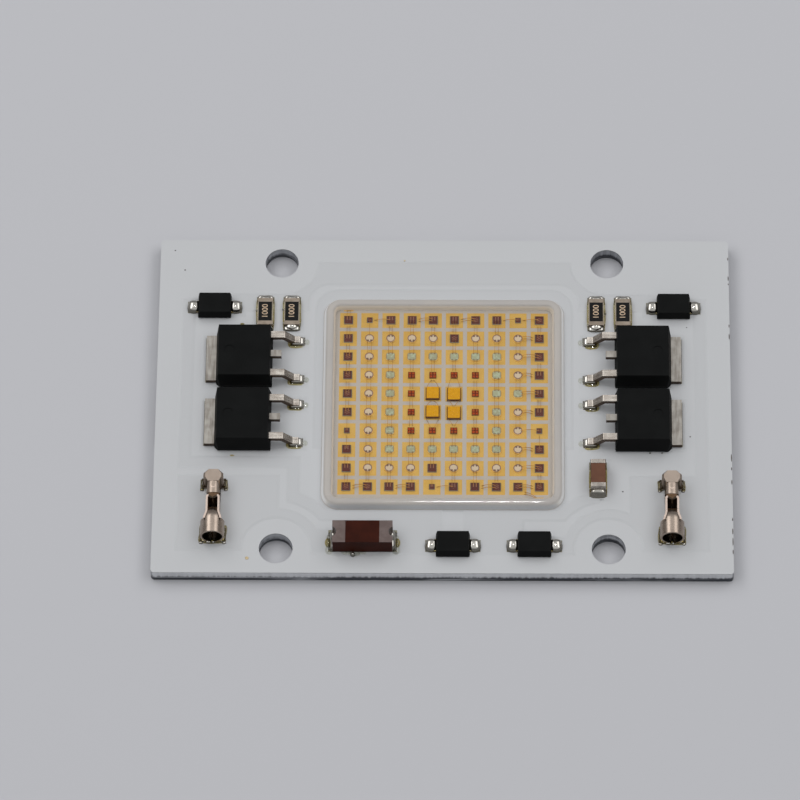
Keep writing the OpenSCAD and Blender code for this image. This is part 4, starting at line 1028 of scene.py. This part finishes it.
# %% Solder at terminals
MOUTH_Y = -16.5
lumps = joints["terminal"]
for name in TERMINALS:
    low, high = box_mm(name)
    middle = (low.x + high.x) / 2
    pillow(lumps, (middle - 1.3, middle + 1.3), (MOUTH_Y - 0.02, MOUTH_Y + 1.75),
           (Z_COPPER, Z_SEAT + 0.16))
    for side in (-1, 1):
        pillow(lumps, (middle + 0.5 * side, middle + 1.36 * side), (high.y - 1.15, high.y - 0.02),
               (Z_COPPER, Z_SEAT + 0.16))
        drop(lumps, (middle + 1.22 * side, high.y - 1.25, Z_MASK), (0.2, 0.14, 0.16), rings=8)
        drop(lumps, (middle + 1.2 * side, MOUTH_Y - 0.06, Z_MASK), (0.22, 0.16, 0.16), rings=8)
    drop(lumps, (middle - 0.42, MOUTH_Y - 0.04, Z_MASK + 0.14), (0.28, 0.16, 0.17), rings=10)
    drop(lumps, (middle + 0.1, MOUTH_Y - 0.04, Z_MASK + 0.14), (0.16, 0.14, 0.15), rings=10)
for kind, lumps in joints.items():
    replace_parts(finish_piece(f"{kind}_lumps", lumps, bright_solder), f"{kind}_solder")

# %% [markdown]
# Flux is the resin that comes with the solder. It is left as a thin glassy film round the joints, yellow
# where it is thick. Paint on the mask would stay flat, so low, wobbly pillows make it, under the tinted
# transparent shader. Clear drops sit at the tips of the driver leads and lie wet round the fuse.

# %% Flux at drivers and chip parts
FUSE_WET = ((0.34, 0.2, 0.55), (0.4, 0.8, 0.4), (0.3, 1.6, 0.45))
FUSE_FRONT_WET = ((-9.9, -17.66, 0.5), (-9.0, -17.8, 0.6), (-8.2, -17.66, 0.4))
film = bmesh.new()
glass = bmesh.new()
for i in FOUR:
    side, tip, rows = driver_tips(i)
    for y in rows:
        pillow(film, (tip - 1.3 * side, tip + 0.3 * side), (y - 0.74, y + 0.45), (Z_MASK, Z_MASK + 0.12),
               wobble=0.12)
        drop(glass, (tip + 0.62 * side, y - 0.05, Z_MASK), (0.32, 0.36, 0.16))
    for name, grow in ((f"resistor_{i}_core", 0.17), (f"diode_{i}_leads", 0.04)):
        low, high = box_mm(name)
        pillow(film, (low.x - grow, high.x + grow), (low.y - grow, high.y + grow), (Z_MASK, Z_MASK + 0.24),
               rounds=2, wobble=0.05, cuts=6)
low, high = box_mm("capacitor_body")
pillow(film, (low.x - 0.18, high.x + 0.18), (low.y - 0.3, high.y + 0.2), (Z_MASK, Z_MASK + 0.5),
       rounds=2, wobble=0.06)
low, high = box_mm("fuse_caps")
for side, end in ((-1, low.x), (1, high.x)):
    drop(film, (end + 0.46 * side, low.y + 1.05, Z_MASK), (0.34, 0.55, 0.3), rings=8)
    for out, along, size in FUSE_WET:
        drop(glass, (end + out * side, low.y + along, Z_MASK), (size * 0.8, size, size * 0.6), rings=8)
for x, y, size in FUSE_FRONT_WET:
    drop(glass, (x, y, Z_MASK), (size, size * 0.5, 0.1), rings=8)
print("flux film", len(film.faces), "faces, clear drops", len(glass.faces), "faces")

# %% [markdown]
# At the terminals more flux was used, and it has turned brown. It lies along the mouth and both sides.
# Two small splashes lie by themselves on the bare mask. Each tint is a piece of its own, because a piece
# has one finish.

# %% Flux at terminals
SPLASHES = ((-21.9, -6.2), (-21.2, 9.7))
resin = bmesh.new()
for name in TERMINALS:
    low, high = box_mm(name)
    middle = (low.x + high.x) / 2
    pillow(resin, (middle - 1.1, middle + 1.1), (MOUTH_Y - 0.14, MOUTH_Y + 0.3), (Z_MASK, Z_MASK + 0.26),
           wobble=0.12)
    runs = ((MOUTH_Y - 0.05, MOUTH_Y + 1.9, 0.42), (high.y - 1.35, high.y - 0.05, 0.3))
    for side in (-1, 1):
        for front_y, rear_y, tall in runs:
            pillow(resin, (middle + 1.0 * side, middle + 1.42 * side), (front_y, rear_y),
                   (Z_MASK, Z_MASK + tall), rounds=5, wobble=0.16)
for x, y in SPLASHES:
    drop(film, (x, y, Z_BARE), (0.24, 0.12, 0.05))
finish_piece("flux_film", film, amber_flux)
finish_piece("terminal_flux", resin, brown_flux)
finish_piece("flux_drops", glass, clear_flux)

# %% [markdown]
# The chip resistors carry a plain value in small printed digits. A mask in the material would need every
# stroke worked out, while a text object has them ready. The text becomes a mesh first, then it is laid on
# each coat and turned to run along the part.

# %% Resistor digits
DIGIT_TALL = 0.86
INK_THICK = 0.003
digits_curve = bpy.data.curves.new("digits", "FONT")
digits_curve.body = "1000"
digits_curve.size = DIGIT_TALL * MM
digits_curve.extrude = INK_THICK * MM
digits_curve.align_x = "CENTER"
digits_curve.align_y = "CENTER"
digits_source = bpy.data.objects.new("digits", digits_curve)
digits_mesh = bpy.data.meshes.new_from_object(digits_source)
digits = bmesh.new()
for i in FOUR:
    low, high = box_mm(f"resistor_{i}_coat")
    fresh = bmesh.new()
    fresh.from_mesh(digits_mesh)
    middle = Vector(((low.x + high.x) / 2, (low.y + high.y) / 2, high.z + 0.004)) * MM
    place = Matrix.Translation(middle) @ Matrix.Rotation(math.pi / 2, 4, "Z")
    bmesh.ops.transform(fresh, matrix=place, verts=fresh.verts)
    join(digits, fresh)
bpy.data.objects.remove(digits_source)
bpy.data.curves.remove(digits_curve)
bpy.data.meshes.remove(digits_mesh)
finish_piece("resistor_digits", digits, number_ink)

# %% [markdown]
# A hand-soldered board is never quite clean. Small solder balls lie near the joints, dark and brown
# specks on the white, and the mask is chipped along the right edge. Scattered at random they would look
# like noise, so each has its place. They are tiny drops with few faces.

# %% Specks and solder balls
EDGE_X = 29.94
DARK_SPECKS = ((-27.4, 16.3, 0.09), (-28.5, 18.7, 0.08), (25.5, 9.4, 0.07), (25.7, -3.8, 0.08),
               (8.5, 16.3, 0.05), (18.65, -10.35, 0.09))
EDGE_CHIPS = ((17.8, 0.2), (15.4, 0.3), (14.7, 0.12), (9.6, 0.2), (8.3, 0.4), (-6.3, 0.5), (-7.6, 0.2),
              (-9.2, 0.3), (-13.6, 0.2), (-15.0, 0.4), (-16.2, 0.5), (-17.4, 0.3))
SOLDER_BALLS = ((21.5, -5.8, 0.09), (22.75, -5.8, 0.08), (16.95, 11.0, 0.12), (19.6, 10.8, 0.1),
                (-19.7, 11.3, 0.12), (-16.9, 11.4, 0.12), (-9.2, -17.92, 0.25), (2.2, -18.0, 0.12))
grit = bmesh.new()
for x, y, r in DARK_SPECKS:
    drop(grit, (x, y, Z_BARE), (r, r * 0.8, r * 0.6), rings=5, spokes=8)
for y, long in EDGE_CHIPS:
    drop(grit, (EDGE_X, y, Z_BARE), (0.05, long, 0.03), rings=5, spokes=8)
finish_piece("dark_specks", grit, dark_grit)
grit = bmesh.new()
drop(grit, (-20.1, -18.3, Z_BARE), (0.2, 0.2, 0.03), rings=5, spokes=12)
drop(grit, (-4.2, 17.5, Z_BARE), (0.1, 0.1, 0.05), rings=5, spokes=10)
finish_piece("brown_specks", grit, brown_grit)
balls = bmesh.new()
for x, y, r in SOLDER_BALLS:
    drop(balls, (x, y, Z_MASK), (r, r, r * 1.6), rings=8, spokes=12)
finish_piece("solder_balls", balls, bright_solder)
